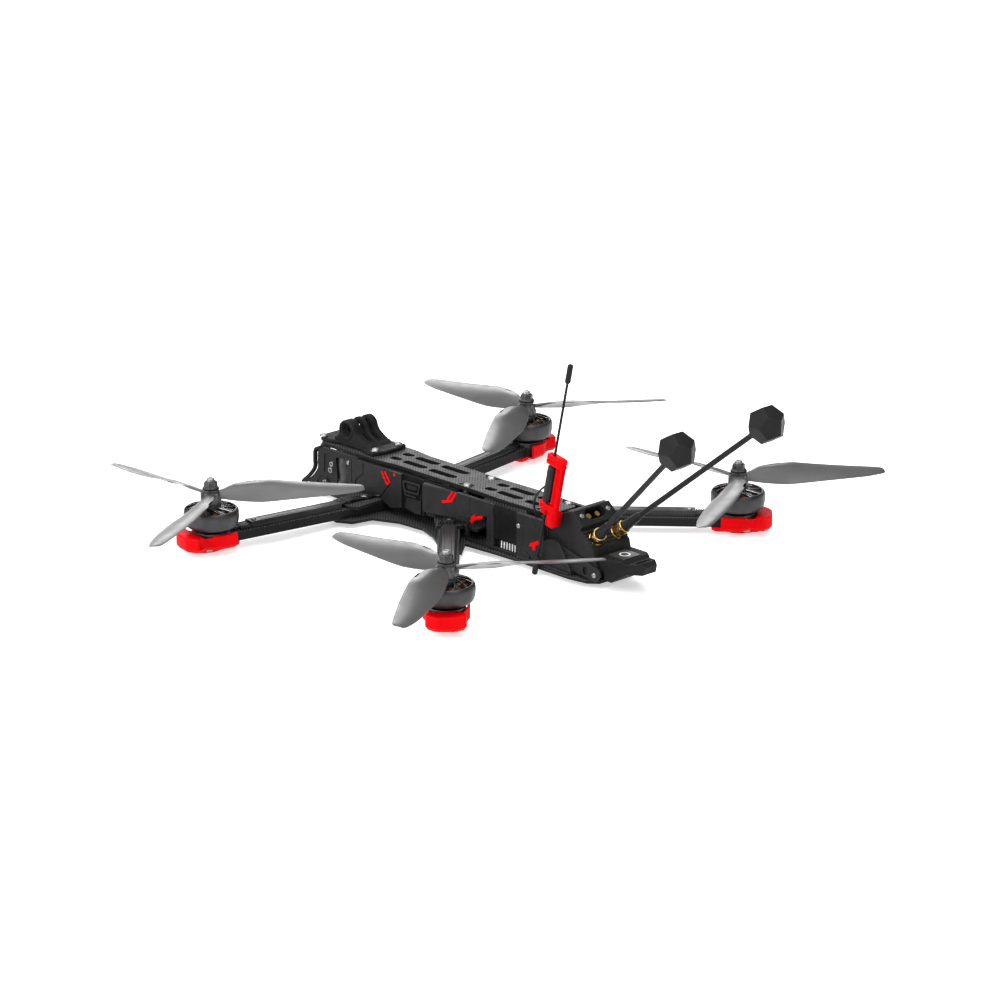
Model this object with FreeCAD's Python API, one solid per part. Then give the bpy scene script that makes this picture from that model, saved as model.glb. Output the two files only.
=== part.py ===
"""Long-range racing quadcopter for propellers of 7.5 inch.

Millimetres, +X is the nose, +Y the left side, +Z up.

The origin is the centre of the four motor axes, on the lower face of the bottom plate.
"""
import FreeCAD, Part
import math
import os

V = FreeCAD.Vector

# ---------------------------------------------------------------- driving dimensions
MOTOR_X = 98.4            # front and rear motor axes, ahead of and behind the origin
FRONT_Y = 134.0           # front motor axes, out from the centre line
REAR_Y = 123.5            # rear motor axes
FRONT_ARM_AIM = (0.17, 0.985)    # outward direction of a front arm, x and y
REAR_ARM_AIM = (-0.72, 0.694)
FRONT_ARM_LEN = 126.0     # motor axis to inner end
REAR_ARM_LEN = 165.0
FRONT_COVER_GAP = 36.0    # from an arm's inner end to its wire cover
REAR_COVER_GAP = 24.0

BOTTOM_T = 2.0            # bottom plate
ARM_T = 6.0
MID_T = 2.0
TOP_UNDER = 31.0          # lower face of the top plate
TOP_T = 2.5
ARM_LOW = BOTTOM_T
ARM_TOP = ARM_LOW + ARM_T
MID_TOP = ARM_TOP + MID_T
TOP_TOP = TOP_UNDER + TOP_T

ARM_W = 13.6
ARM_END_R = 12.0
COVER_TOP = 11.5
COVER_W = 10.0
COVER_FROM = 26.0         # the cover starts this far inboard of the motor axis
WIRE_R = 0.9
WIRE_PITCH = 2.1

SKID_HALF_W = 13.7
SKID_FOOT = -3.0

PROP_R = 95.25
BLADES = 3
PROP_LOW = 28.0           # seat of the propeller's hub on the bell
PROP_HIGH = 34.9
PROP_HUB_R = 6.2
NUT_TOP = 42.0
SHAFT_TOP = 43.3

BELL_R = 17.0
BELL_LOW = 13.0
BELL_RIM = 27.0
SHAFT_R = 2.0
THREAD_R = 2.5
RUNNING_GAP = 0.04        # radial, shaft in bearing

SCREW_R = 1.5
HOLE_R = 1.6

CAMERA_PIVOT = (120.5, 17.5)     # x and z of the camera's tilt axis
MOUNT_HOLE = (113.0, 44.0)       # x and z of the action camera hole
MOUNT_HOLE_R = 2.6

PANEL_TOP = (-91.0, 40.3)        # upper and lower edge of the tail's sloping panel, x and z
PANEL_LOW = (-111.0, 23.0)

ANTENNA_FOOT = (-107.1, 9.2, 26.6)
ANTENNA_HEAD = (-197.0, 37.6, 106.5)
HEAD_R = 12.0

ROD_Y = 23.4              # receiver antenna
ROD_FOOT = (-76.6, 33.5)  # x and z of a point on it
ROD_LEAN = 12.0           # degrees, top towards the tail
ROD_TOP = 102.4           # along the rod from that point
ROD_LOW = -36.6
CAP_LEN = 11.8
HOLDER_IN = 19.9          # the antenna holder, inner and outer face
HOLDER_OUT = 26.9

# name, front or rear, left or right, turning direction seen from above (+1 is anticlockwise)
CORNERS = [
    ("front_left", 1, 1, 1),
    ("front_right", 1, -1, -1),
    ("rear_left", -1, 1, -1),
    ("rear_right", -1, -1, 1),
]

BUTTON_R = 1.2            # link button on the video unit's left face
BUTTON_SPOT = (-40.0, 17.0)      # x and z

ARM_SCREWS = (6.0, 16.0)  # from an arm's inner end
MOTOR_BOLT_R = 8.0        # bolt circle under a motor

os.makedirs("parts", exist_ok=True)


# ---------------------------------------------------------------- helpers
def save(name, shape):
    shape.exportStep("parts/" + name + ".step")


def group(solids):
    return Part.makeCompound(list(solids))


def fuse(solids):
    first = solids[0]
    if len(solids) > 1:
        first = first.fuse(solids[1:])
    return first.removeSplitter()


def box(x0, x1, y0, y1, z0, z1):
    return Part.makeBox(x1 - x0, y1 - y0, z1 - z0, V(x0, y0, z0))


def rod(radius, start, end):
    start = V(*start)
    run = V(*end) - start
    return Part.makeCylinder(radius, run.Length, start, run)


def prism(points, along, length):
    """A polygon of 3D points, pushed out along a direction."""
    wire = Part.makePolygon([V(*p) for p in points] + [V(*points[0])])
    return Part.Face(wire).extrude(V(*along) * length)


def plate(points, z0, z1):
    return prism([(x, y, z0) for x, y in points], (0, 0, 1), z1 - z0)


def side(points, y0, y1):
    return prism([(x, y0, z) for x, z in points], (0, 1, 0), y1 - y0)


def both_sides(half):
    """Closed outline from its half on the +Y side, nose to tail."""
    return half + [(x, -y) for x, y in reversed(half) if y > 0]


def mirrored(shape):
    return shape.mirror(V(0, 0, 0), V(0, 1, 0))


def ring(outer, inner, z0, z1):
    return rod(outer, (0, 0, z0), (0, 0, z1)).cut(rod(inner, (0, 0, z0 - 1), (0, 0, z1 + 1)))


def hexagon(across, z0, z1):
    radius = across / math.sqrt(3)
    corners = [(radius * math.cos(math.radians(60 * k)), radius * math.sin(math.radians(60 * k)))
               for k in range(6)]
    return plate(corners, z0, z1)


def placed(shape, x, y, z=0.0, turn=0.0):
    copy = shape.copy()
    copy.rotate(V(0, 0, 0), V(0, 0, 1), turn)
    copy.translate(V(x, y, z))
    return copy


def corner_place(shape, front, left):
    """From a corner's own frame (x outward along the arm, motor axis at 0, 0) to its place."""
    aim = FRONT_ARM_AIM if front > 0 else REAR_ARM_AIM
    turn = math.degrees(math.atan2(aim[1], aim[0]))
    y = FRONT_Y if front > 0 else REAR_Y
    copy = placed(shape, front * MOTOR_X, y, 0.0, turn)
    return copy if left > 0 else mirrored(copy)


def arm_length(front):
    return FRONT_ARM_LEN if front > 0 else REAR_ARM_LEN


def cover_start(front):
    """Inner end of a wire cover, in the corner's own frame."""
    return -(arm_length(front) - (FRONT_COVER_GAP if front > 0 else REAR_COVER_GAP))


def arm_screw_spots():
    spots = []
    for _, front, left, _ in CORNERS:
        for back in ARM_SCREWS:
            spot = corner_place(Part.Vertex(V(back - arm_length(front), 0, 0)), front, left)
            spots.append((spot.Point.x, spot.Point.y))
    return spots


def bolt_circle(radius, count, start=45.0):
    return [(radius * math.cos(math.radians(start + 360.0 * k / count)),
             radius * math.sin(math.radians(start + 360.0 * k / count))) for k in range(count)]


# ---------------------------------------------------------------- arms, covers, skids
def arm(front):
    length = arm_length(front)
    bar = box(-length, 0, -ARM_W / 2, ARM_W / 2, ARM_LOW, ARM_TOP)
    end = rod(ARM_END_R, (0, 0, ARM_LOW), (0, 0, ARM_TOP))
    body = fuse([bar, end])
    for x, y in bolt_circle(MOTOR_BOLT_R, 4):
        body = body.cut(rod(HOLE_R, (x, y, 0), (x, y, ARM_TOP + 1)))
    body = body.cut(rod(3.2, (0, 0, 0), (0, 0, ARM_TOP + 1)))
    for back in ARM_SCREWS:
        body = body.cut(rod(HOLE_R, (back - length, 0, 0), (back - length, 0, ARM_TOP + 1)))
    return body


def arm_cover(front):
    """A shallow channel that lies on the arm over the motor's wires."""
    inner_end = cover_start(front)
    half = COVER_W / 2
    outline = [(-half, ARM_TOP), (-half, COVER_TOP - 1.2), (-half + 1.6, COVER_TOP),
               (half - 1.6, COVER_TOP), (half, COVER_TOP - 1.2), (half, ARM_TOP)]
    shell = prism([(inner_end, y, z) for y, z in outline], (1, 0, 0), -COVER_FROM - inner_end)
    channel = box(inner_end - 1, -COVER_FROM + 1, -half + 1.3, half - 1.3, ARM_TOP - 1, COVER_TOP - 1.1)
    return shell.cut(channel)


def motor_wires(front):
    level = ARM_TOP + WIRE_R + 0.2
    return [rod(WIRE_R, (cover_start(front), k * WIRE_PITCH, level), (-12.0, k * WIRE_PITCH, level))
            for k in (-1, 0, 1)]


def motor_skid():
    """Soft guard that wraps the arm's end and carries a foot."""
    w = SKID_HALF_W
    outline = both_sides([(21.5, 5.5), (15.0, 11.5), (9.0, 10.8), (3.0, w), (-7.0, w)])
    walls = plate(outline, 1.0, 11.5)
    walls = walls.cut(rod(ARM_END_R + 0.1, (0, 0, ARM_LOW), (0, 0, 12)))
    walls = walls.cut(box(-20, 0, -w + 1.6, w - 1.6, ARM_LOW, 12))
    sole = plate([(16.0, -7.5), (16.0, 7.5), (-16.0, 7.5), (-16.0, -7.5)], -0.8, ARM_LOW)
    foot = plate([(12.0, -4.0), (12.0, 4.0), (-9.0, 4.0), (-9.0, -4.0)], SKID_FOOT, 0.0)
    body = fuse([walls, sole, foot])
    for x, y in bolt_circle(MOTOR_BOLT_R, 4):
        body = body.cut(rod(2.9, (x, y, SKID_FOOT - 1), (x, y, 1.0)))
        body = body.cut(rod(HOLE_R, (x, y, 0), (x, y, ARM_LOW + 1)))
    return body


# ---------------------------------------------------------------- motor
def motor_base():
    disc = rod(11.5, (0, 0, ARM_TOP), (0, 0, ARM_TOP + 2.5))
    tube = rod(5.2, (0, 0, ARM_TOP), (0, 0, 24.6))
    body = fuse([disc, tube])
    body = body.cut(rod(4.0, (0, 0, ARM_TOP + 2.0), (0, 0, 26)))
    body = body.cut(rod(3.0, (0, 0, 0), (0, 0, ARM_TOP + 2.5)))
    for x, y in bolt_circle(MOTOR_BOLT_R, 4):
        body = body.cut(rod(SCREW_R, (x, y, 0), (x, y, ARM_TOP + 1.8)))
    return body


def stator():
    core = ring(8.0, 5.2, 13.6, 23.0)
    parts = [core]
    for k in range(12):
        tooth = box(7.6, 13.2, -1.0, 1.0, 13.6, 23.0)
        shoe = rod(14.4, (0, 0, 13.6), (0, 0, 23.0)).cut(rod(13.2, (0, 0, 13), (0, 0, 24)))
        shoe = shoe.common(box(11.0, 15.0, -3.0, 3.0, 13, 24))
        tooth = fuse([tooth, shoe])
        parts.append(placed(tooth, 0, 0, 0, 30.0 * k))
    return fuse(parts)


def winding():
    """Twelve copper coils, one round each tooth."""
    coil = box(8.6, 13.0, -2.1, 2.1, 12.7, 23.9).cut(box(8.0, 14.0, -1.05, 1.05, 13.55, 23.05))
    coil = coil.makeFillet(0.6, [e for e in coil.Edges if e.Length > 11.0][:4])
    return [placed(coil, 0, 0, 0, 30.0 * k) for k in range(12)]


def bearing_pair():
    return [ring(4.0, SHAFT_R + RUNNING_GAP, 10.0, 13.0), ring(4.0, SHAFT_R + RUNNING_GAP, 21.0, 24.0)]


def rotor_bell():
    wall = ring(BELL_R, 15.9, BELL_LOW, BELL_RIM - 1.5)
    rim = Part.makeCone(BELL_R, BELL_R - 1.5, 1.5, V(0, 0, BELL_RIM - 1.5)).cut(
        rod(14.2, (0, 0, 20), (0, 0, 30)))
    hub = rod(6.4, (0, 0, 25.0), (0, 0, PROP_LOW))
    parts = [wall, rim, hub]
    for k in range(8):
        spoke = box(5.0, 16.0, -1.1, 1.1, 25.0, 26.4)
        parts.append(placed(spoke, 0, 0, 0, 45.0 * k))
    body = fuse(parts)
    return body.cut(rod(SHAFT_R, (0, 0, 20), (0, 0, 30)))


def motor_shaft():
    lower = rod(SHAFT_R, (0, 0, 9.5), (0, 0, PROP_LOW))
    upper = rod(THREAD_R, (0, 0, PROP_LOW), (0, 0, SHAFT_TOP))
    return fuse([lower, upper])


def prop_nut():
    flange = rod(5.0, (0, 0, PROP_HIGH), (0, 0, PROP_HIGH + 1.6))
    body = hexagon(7.9, PROP_HIGH + 1.6, NUT_TOP)
    return fuse([flange, body]).cut(rod(THREAD_R, (0, 0, 30), (0, 0, 50)))


def blade_section(radius, chord, thick, spin):
    """Thin six-sided aerofoil across the blade at one radius, pitched for the turning direction."""
    pitch_per_turn = 105.0
    angle = math.atan2(pitch_per_turn, 2 * math.pi * max(radius, 30.0))
    height = 32.4 - 2.1 * radius / PROP_R
    shape = [(-0.5, 0.0), (-0.3, 0.5), (0.1, 0.5), (0.5, 0.12), (0.5, -0.12), (-0.3, -0.4)]
    points = []
    for along, up in shape:
        c = along * chord
        t = up * thick
        across = c * math.cos(angle) + t * math.sin(angle)
        rise = -c * math.sin(angle) + t * math.cos(angle)
        points.append(V(radius, -spin * across, height + rise))
    return Part.makePolygon(points + [points[0]])


def propeller(spin):
    stations = [(4.5, 7.0, 2.6), (13.0, 13.0, 2.6), (24.0, 18.5, 2.2), (38.0, 20.5, 1.8),
                (56.0, 18.5, 1.5), (76.0, 14.5, 1.2), (90.0, 10.0, 1.0), (PROP_R - 0.3, 7.0, 0.9)]
    wires = [blade_section(r, chord, thick, spin) for r, chord, thick in stations]
    blade = Part.makeLoft(wires, True, True)
    hub = rod(PROP_HUB_R, (0, 0, PROP_LOW), (0, 0, PROP_HIGH))
    body = fuse([hub] + [placed(blade, 0, 0, 0, 360.0 / BLADES * k) for k in range(BLADES)])
    return body.cut(rod(THREAD_R, (0, 0, 20), (0, 0, 50)))


def motor_bolts():
    """Four bolts that hold a motor from below, through skid and arm."""
    bolts = []
    for x, y in bolt_circle(MOTOR_BOLT_R, 4):
        head = rod(2.75, (x, y, -0.6), (x, y, 1.0))
        shank = rod(SCREW_R, (x, y, 0.5), (x, y, ARM_TOP + 1.7))
        bolts.append(fuse([head, shank]))
    return bolts


# ---------------------------------------------------------------- frame plates
STANDOFFS = [(87.1, 9.8), (3.0, 10.5), (-64.0, 10.5)]
NOSE_STANDOFF = (133.0, 12.0)


def standoff_spots():
    return [(x, s * y) for x, y in STANDOFFS for s in (1, -1)]


def drilled(shape, spots, z0, z1):
    return shape.cut([rod(HOLE_R, (x, y, z0 - 1), (x, y, z1 + 1)) for x, y in spots])


def bottom_plate():
    half = [(147.0, 12.0), (140.0, 17.2), (108.0, 17.6), (97.0, 22.0), (92.0, 47.0), (79.0, 50.5),
            (69.5, 45.2), (66.5, 31.5), (50.0, 24.0), (30.0, 22.5), (16.0, 27.5), (5.4, 33.8),
            (-20.2, 37.1), (-9.0, 23.5), (-31.0, 21.6), (-50.0, 20.8), (-95.0, 20.8), (-108.0, 18.5),
            (-114.0, 13.0)]
    body = plate(both_sides(half), 0, BOTTOM_T)
    nose = [(NOSE_STANDOFF[0], s * NOSE_STANDOFF[1]) for s in (1, -1)]
    rear = [(-64.0, 10.5), (-64.0, -10.5)]
    return drilled(body, arm_screw_spots() + nose + rear, 0, BOTTOM_T)


def middle_plate():
    half = [(108.0, 11.0), (104.0, 14.6), (96.0, 14.8), (94.0, 17.0), (91.5, 41.5), (76.0, 43.0),
            (70.5, 39.0), (71.0, 16.2), (26.0, 16.2), (20.0, 22.0), (10.5, 29.6), (-0.6, 18.0),
            (-1.0, 16.8), (-12.0, 16.4), (-12.0, 8.0)]
    body = plate(both_sides(half), ARM_TOP, MID_TOP)
    front = [(x, s * y) for x, y in STANDOFFS[:2] for s in (1, -1)]
    body = body.cut(plate([(52, -7), (66, -7), (66, 7), (52, 7)], 0, 20))
    return drilled(body, arm_screw_spots() + front, ARM_TOP, MID_TOP)


def slot(x, y, length, width):
    reach = (length - width) / 2
    z0, z1 = TOP_UNDER - 1, TOP_TOP + 1
    ends = [rod(width / 2, (x + s * reach, y, z0), (x + s * reach, y, z1)) for s in (1, -1)]
    return fuse([box(x - reach, x + reach, y - width / 2, y + width / 2, z0, z1)] + ends)


def diamond(x, y, length, width):
    points = [(x + length / 2, y), (x, y + width / 2), (x - length / 2, y), (x, y - width / 2)]
    return plate(points, TOP_UNDER - 1, TOP_TOP + 1)


def top_plate():
    half = [(135.0, 10.0), (131.0, 15.0), (78.0, 15.6), (62.0, 13.6), (-6.0, 13.4), (-30.0, 14.6),
            (-64.0, 13.6), (-72.0, 8.0)]
    body = plate(both_sides(half), TOP_UNDER, TOP_TOP)
    for y in (5.2, -5.2):
        for x, length in ((55.0, 20.0), (30.0, 23.0), (-29.5, 20.0), (-50.0, 13.0)):
            body = body.cut(slot(x, y, length, 3.8))
        for x in (72.5, -12.8):
            body = body.cut(diamond(x, y, 8.0, 3.8))
    nose = [(NOSE_STANDOFF[0], s * NOSE_STANDOFF[1]) for s in (1, -1)]
    return drilled(body, standoff_spots() + nose, TOP_UNDER, TOP_TOP)


def standoffs():
    posts = []
    for x, y in standoff_spots():
        low = BOTTOM_T if x < -30 else MID_TOP
        posts.append(ring(2.6, SCREW_R, low, TOP_UNDER).translated(V(x, y, 0)))
    for s in (1, -1):
        x, y = NOSE_STANDOFF
        posts.append(ring(2.3, SCREW_R, BOTTOM_T, TOP_UNDER).translated(V(x, s * y, 0)))
    return posts


def button_screw(x, y, under, low):
    head = rod(2.8, (x, y, under), (x, y, under + 1.7))
    shank = rod(SCREW_R, (x, y, low), (x, y, under))
    return fuse([head, shank])


def frame_screws():
    parts = []
    for x, y in standoff_spots():
        under = TOP_TOP + (2.5 if x > 80 else 0)
        parts.append(button_screw(x, y, under, TOP_UNDER - 6))
    for s in (1, -1):
        parts.append(button_screw(NOSE_STANDOFF[0], s * NOSE_STANDOFF[1], TOP_TOP + 2.5, TOP_UNDER - 6))
        parts.append(rod(SCREW_R, (NOSE_STANDOFF[0], s * NOSE_STANDOFF[1], 0.2),
                         (NOSE_STANDOFF[0], s * NOSE_STANDOFF[1], 10)))
        parts.append(rod(SCREW_R, (-64.0, s * 10.5, 0.2), (-64.0, s * 10.5, 10)))
    for x, y in arm_screw_spots():
        shank = rod(SCREW_R, (x, y, 0.2), (x, y, MID_TOP + 2.6))
        nut = hexagon(5.5, MID_TOP, MID_TOP + 2.2).translated(V(x, y, 0))
        parts.append(fuse([shank, nut]))
    return parts


# ---------------------------------------------------------------- nose
def cage_plate():
    """Upright plate beside the camera, on the left."""
    outline = [(129.0, 31.0), (132.5, 27.0), (133.5, 15.0), (142.0, 4.5), (142.0, 2.0), (96.0, 2.0),
               (96.0, 31.0)]
    window = [(116.0, 23.0), (112.5, 12.0), (117.0, 5.5), (104.0, 5.5), (104.0, 20.0), (112.0, 24.0)]
    gap = [(130.0, 25.0), (131.0, 15.0), (134.5, 10.5), (126.5, 12.0), (125.5, 25.0)]
    body = side(outline, 15.0, 17.0)
    body = body.cut(side(window, 14.0, 18.0)).cut(side(gap, 14.0, 18.0))
    x, z = CAMERA_PIVOT
    return body.cut(rod(HOLE_R, (x, 14, z), (x, 18, z)))


def nose_bumper():
    """Soft strip down each front edge, joined by a bar at the toe."""
    centre = [(130.0, 30.6), (135.2, 27.6), (136.0, 14.5), (147.5, 3.4)]
    outer = [(132.0, 30.9), (137.4, 28.6), (138.4, 15.4), (150.0, 4.4)]
    strip = side(outer + [(150.0, 2.2)] + [(x + 0.3, z) for x, z in reversed(centre)], 14.5, 17.2)
    toe = box(147.3, 150.0, -17.0, 17.0, 2.2, 5.0).cut(box(140, 160, -20, 20, 4.4, 9))
    return fuse([strip, mirrored(strip), toe])


def camera_housing():
    x, z = CAMERA_PIVOT
    block = box(x - 8.5, x + 7.5, -9.5, 9.5, z - 9.2, z + 9.2)
    block = block.common(rod(10.4, (x, -10, z), (x, 10, z)))
    block = block.cut(rod(HOLE_R - 0.05, (x, -10, z), (x, -6, z)))
    block = block.cut(rod(HOLE_R - 0.05, (x, 10, z), (x, 6, z)))
    return block.cut(rod(5.0, (x + 2.0, 0, z), (x + 9, 0, z)))


def camera_lens():
    x, z = CAMERA_PIVOT
    barrel = rod(5.0, (x + 2.0, 0, z), (x + 9.0, 0, z))
    head = rod(6.0, (x + 9.0, 0, z), (x + 15.5, 0, z))
    return fuse([barrel, head]).cut(Part.makeCone(2.6, 5.2, 3.0, V(x + 12.6, 0, z), V(1, 0, 0)))


def camera_screws():
    """Tilt pivots: each runs through a cage plate into the camera."""
    x, z = CAMERA_PIVOT
    shank = rod(SCREW_R, (x, 6.4, z), (x, 17.0, z))
    head = rod(2.6, (x, 17.0, z), (x, 18.5, z))
    spacer = rod(2.6, (x, 10.0, z), (x, 15.0, z))
    left = fuse([shank, head, spacer])
    return [left, mirrored(left)]


# ---------------------------------------------------------------- sides
def side_panel():
    """Moulded cover on the left: flat front, latch pocket, shoulder over the arm, open rear bay."""
    high = TOP_UNDER - 0.2
    low = MID_TOP + 2.8
    front = plate([(101.0, 17.0), (101.0, 18.4), (99.0, 19.4), (55.0, 19.4), (53.0, 18.2), (34.0, 18.2),
                   (34.0, 17.0)], low, high)
    pocket = box(42, 52, 17.6, 20, 14, 26)
    shoulder = plate([(34.0, 17.0), (34.0, 19.0), (30.0, 22.4), (2.0, 22.4), (-4.0, 19.6),
                      (-28.2, 19.6), (-28.2, 17.0)], low, high)
    hollow = plate([(30.0, 16.9), (29.0, 20.4), (2.5, 20.4), (-1.0, 16.9)], low - 1, high - 2)
    rear = plate([(-28.2, 17.0), (-28.2, 20.0), (-72.5, 20.0), (-72.5, 17.0)], BOTTOM_T, high)
    bay = box(-28.2, -5.2, 17.0, 19.6, BOTTOM_T, low)
    body = fuse([front.cut(pocket), shoulder.cut(hollow), rear, bay])
    x, z = BUTTON_SPOT
    reach = rod(1.8, (x, 16, z), (x, 22, z))
    vents = box(-53, -31, 16, 21, 4, 10)
    opening = side([(-6.2, 3.2), (-6.2, 12.2), (-8.0, 14.2), (-23.5, 14.2), (-23.5, 3.2)], 16.0, 23.0)
    return body.cut([vents, reach, opening])


def accent_clips():
    """Red pieces let into the outside of the panels."""
    y0, y1 = 19.4, 20.4
    slash = side([(70.7, 28.9), (66.5, 29.4), (60.9, 24.0), (64.9, 20.3)], y0, y1)
    bow = side([(10.2, 29.0), (5.0, 29.6), (8.6, 24.2), (12.5, 21.6), (16.5, 21.0), (16.5, 23.2),
                (13.2, 24.4)], 22.4, 23.2)
    tick = side([(-9.5, 14.4), (-11.5, 17.4), (-17.5, 21.6), (-20.0, 21.4), (-19.0, 18.6), (-13.0, 14.4)],
                19.6, 20.4)
    tail = side([(-60.5, 12.4), (-62.0, 14.4), (-68.0, 17.6), (-69.6, 16.2), (-66.5, 13.6), (-66.4, 11.2),
                 (-64.6, 10.4), (-63.6, 12.4)], 20.0, 20.6)
    left = [slash, bow, tick, tail]
    return left + [mirrored(part) for part in left]


# ---------------------------------------------------------------- action camera mount
def action_camera_mount():
    hx, hz = MOUNT_HOLE
    base_low = TOP_TOP
    base_high = base_low + 2.5
    base = plate(both_sides([(137.0, 9.0), (133.0, 14.4), (126.0, 14.0), (118.0, 11.5), (98.0, 11.5),
                             (91.0, 14.4), (84.0, 14.4), (82.0, 5.0)]), base_low, base_high)
    base = base.cut(box(80, 90, -5.0, 5.0, base_low - 1, base_high + 1))
    profile = side([(124.5, base_low), (123.5, base_high), (118.8, 47.5), (107.0, 47.0), (102.0, 41.0),
                    (96.5, 37.5), (91.5, base_high), (91.5, base_low)], -10.9, 10.9)
    prongs = fuse([profile, rod(6.6, (hx, -10.9, hz), (hx, 10.9, hz))])
    gaps = [box(98.0, 130.0, y0, y0 + 3.2, base_high + 0.5, 60) for y0 in (0.7, -5.5)]
    body = fuse([base, prongs]).cut(gaps)
    body = body.cut(rod(MOUNT_HOLE_R, (hx, -12, hz), (hx, 12, hz)))
    body = body.cut(rod(4.7, (hx, 7.4, hz), (hx, 12, hz)))
    spots = [(87.1, 9.8), (87.1, -9.8), NOSE_STANDOFF, (NOSE_STANDOFF[0], -NOSE_STANDOFF[1])]
    return drilled(body, spots, base_low, base_high)


# ---------------------------------------------------------------- electronics
def board(x, z, chips):
    """Square board on the stack's axis, with its chips and connectors."""
    parts = [box(x - 16.5, x + 16.5, -16.2, 16.2, z, z + 1.6)]
    for cx, cy, lx, ly, h in chips:
        parts.append(box(x + cx - lx / 2, x + cx + lx / 2, cy - ly / 2, cy + ly / 2, z + 1.5, z + 1.6 + h))
    return fuse(parts)


STACK_X = 44.0


def speed_controller():
    chips = [(dx, dy, 5.0, 4.0, 1.0) for dx in (-13.0, -7.0, 7.0, 13.0) for dy in (-13.5, 13.5)]
    return board(STACK_X, 13.5, chips + [(0, 0, 10.0, 10.0, 1.2)])


def flight_controller():
    chips = [(0, 0, 7.0, 7.0, 1.1), (-6.0, 9.0, 3.0, 3.0, 0.9), (9.0, -8.0, 5.0, 3.5, 0.9),
             (-13.0, 0.0, 4.0, 8.0, 2.6), (13.0, 0.0, 4.0, 8.0, 2.6)]
    return board(STACK_X, 21.0, chips)


def stack_posts():
    """Round spacers under both boards."""
    posts = []
    for sx in (1, -1):
        for sy in (1, -1):
            x, y = STACK_X + sx * 12.75, sy * 8.5
            posts.append(ring(2.4, 1.2, MID_TOP, 13.5).translated(V(x, y, 0)))
            posts.append(ring(2.4, 1.2, 15.1, 21.0).translated(V(x, y, 0)))
    return posts


def receiver():
    board = box(-72.6, -71.2, -4.0, 16.0, 14.0, 28.0)
    chip = box(-71.3, -70.4, 1.0, 8.0, 17.0, 24.0)
    socket = box(-71.3, -70.9, 13.4, 15.8, 23.6, 26.0)
    return fuse([board, chip, socket])


def video_unit():
    body = box(-61.0, -31.5, -14.0, 14.0, BOTTOM_T, 23.0)
    fins = []
    for k in range(8):
        x = -34.0 - 2.4 * k
        fins += [box(x - 0.6, x + 0.6, s * 15.0 - 1.2, s * 15.0 + 1.2, 3.6, 9.6) for s in (1, -1)]
    body = fuse([body.cut(box(-59, -33.5, -12, 12, 4.0, 21.0))] + fins)
    x, z = BUTTON_SPOT
    return body.cut(rod(BUTTON_R + 0.05, (x, 10, z), (x, 16, z)))


def link_button():
    x, z = BUTTON_SPOT
    return fuse([rod(BUTTON_R, (x, 11.2, z), (x, 14.8, z)), rod(2.0, (x, 10.6, z), (x, 11.3, z))])


# ---------------------------------------------------------------- tail
def panel_point(across, down, out):
    """A point on the tail's sloping panel: to the left, down the slope, and out from it."""
    (x0, z0), (x1, z1) = PANEL_TOP, PANEL_LOW
    run = math.hypot(x1 - x0, z1 - z0)
    dx, dz = (x1 - x0) / run, (z1 - z0) / run
    return (x0 + down * dx + out * dz, across, z0 + down * dz - out * dx)


def stadium(half_length, half_width, down, out0, out1):
    """A rounded bar across the panel, from depth out0 to out1."""
    reach = half_length - half_width
    ends = [rod(half_width, panel_point(s * reach, down, out0), panel_point(s * reach, down, out1))
            for s in (1, -1)]
    corners = [panel_point(a, down + b, out0) for a, b in
               ((-reach, -half_width), (reach, -half_width), (reach, half_width), (-reach, half_width))]
    way = V(*panel_point(0, 0, 1)) - V(*panel_point(0, 0, 0))
    return fuse([prism(corners, (way.x, way.y, way.z), out1 - out0)] + ends)


PLUG_DOWN = 5.7            # the plug's centre, down the slope
PLUG_DEPTH = 9.0
PIN_OUT = 3.6              # each pin, out from the centre line


def antenna_axis(along):
    foot, head = V(*ANTENNA_FOOT), V(*ANTENNA_HEAD)
    way = (head - foot).normalize()
    point = foot + way * along
    return (point.x, point.y, point.z)


def tail_block():
    outline = [(-73.0, 2.0), (-73.0, 31.0), (-76.0, 34.0), (-88.0, 40.0), PANEL_TOP, PANEL_LOW,
               (-113.0, 10.0), (-108.0, 2.0)]
    body = side(outline, -16.0, 16.0)
    cavity = side([(-75.0, 1.0), (-75.0, 24.0), (-90.0, 24.0), (-103.0, 16.0), (-105.0, 1.0)], -13.5, 13.5)
    body = body.cut(cavity)
    pad = side([(-84.0, 2.0), (-113.0, 2.0), (-117.0, 5.0), (-113.0, 11.5), (-96.0, 14.0), (-86.0, 10.0)],
               16.0, 17.6)
    body = fuse([body, pad, mirrored(pad)])
    body = body.cut(stadium(8.2, 4.2, PLUG_DOWN, -PLUG_DEPTH, 2.0))
    seat = rod(3.2, antenna_axis(-7.0), antenna_axis(6.0))
    mouth = rod(4.5, antenna_axis(-1.0), antenna_axis(6.0))
    return body.cut([seat, mirrored(seat), mouth, mirrored(mouth)])


def power_plug():
    body = stadium(8.0, 4.0, PLUG_DOWN, -PLUG_DEPTH, 0.4)
    body = body.cut(stadium(7.0, 3.1, PLUG_DOWN, -5.5, 2.0))
    pins = [rod(1.9, panel_point(s * PIN_OUT, PLUG_DOWN, -PLUG_DEPTH - 1),
                panel_point(s * PIN_OUT, PLUG_DOWN, 1)) for s in (1, -1)]
    return body.cut(pins)


def power_pins():
    return group(rod(1.75, panel_point(s * PIN_OUT, PLUG_DOWN, -PLUG_DEPTH),
                     panel_point(s * PIN_OUT, PLUG_DOWN, -1.2)) for s in (1, -1))


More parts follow.
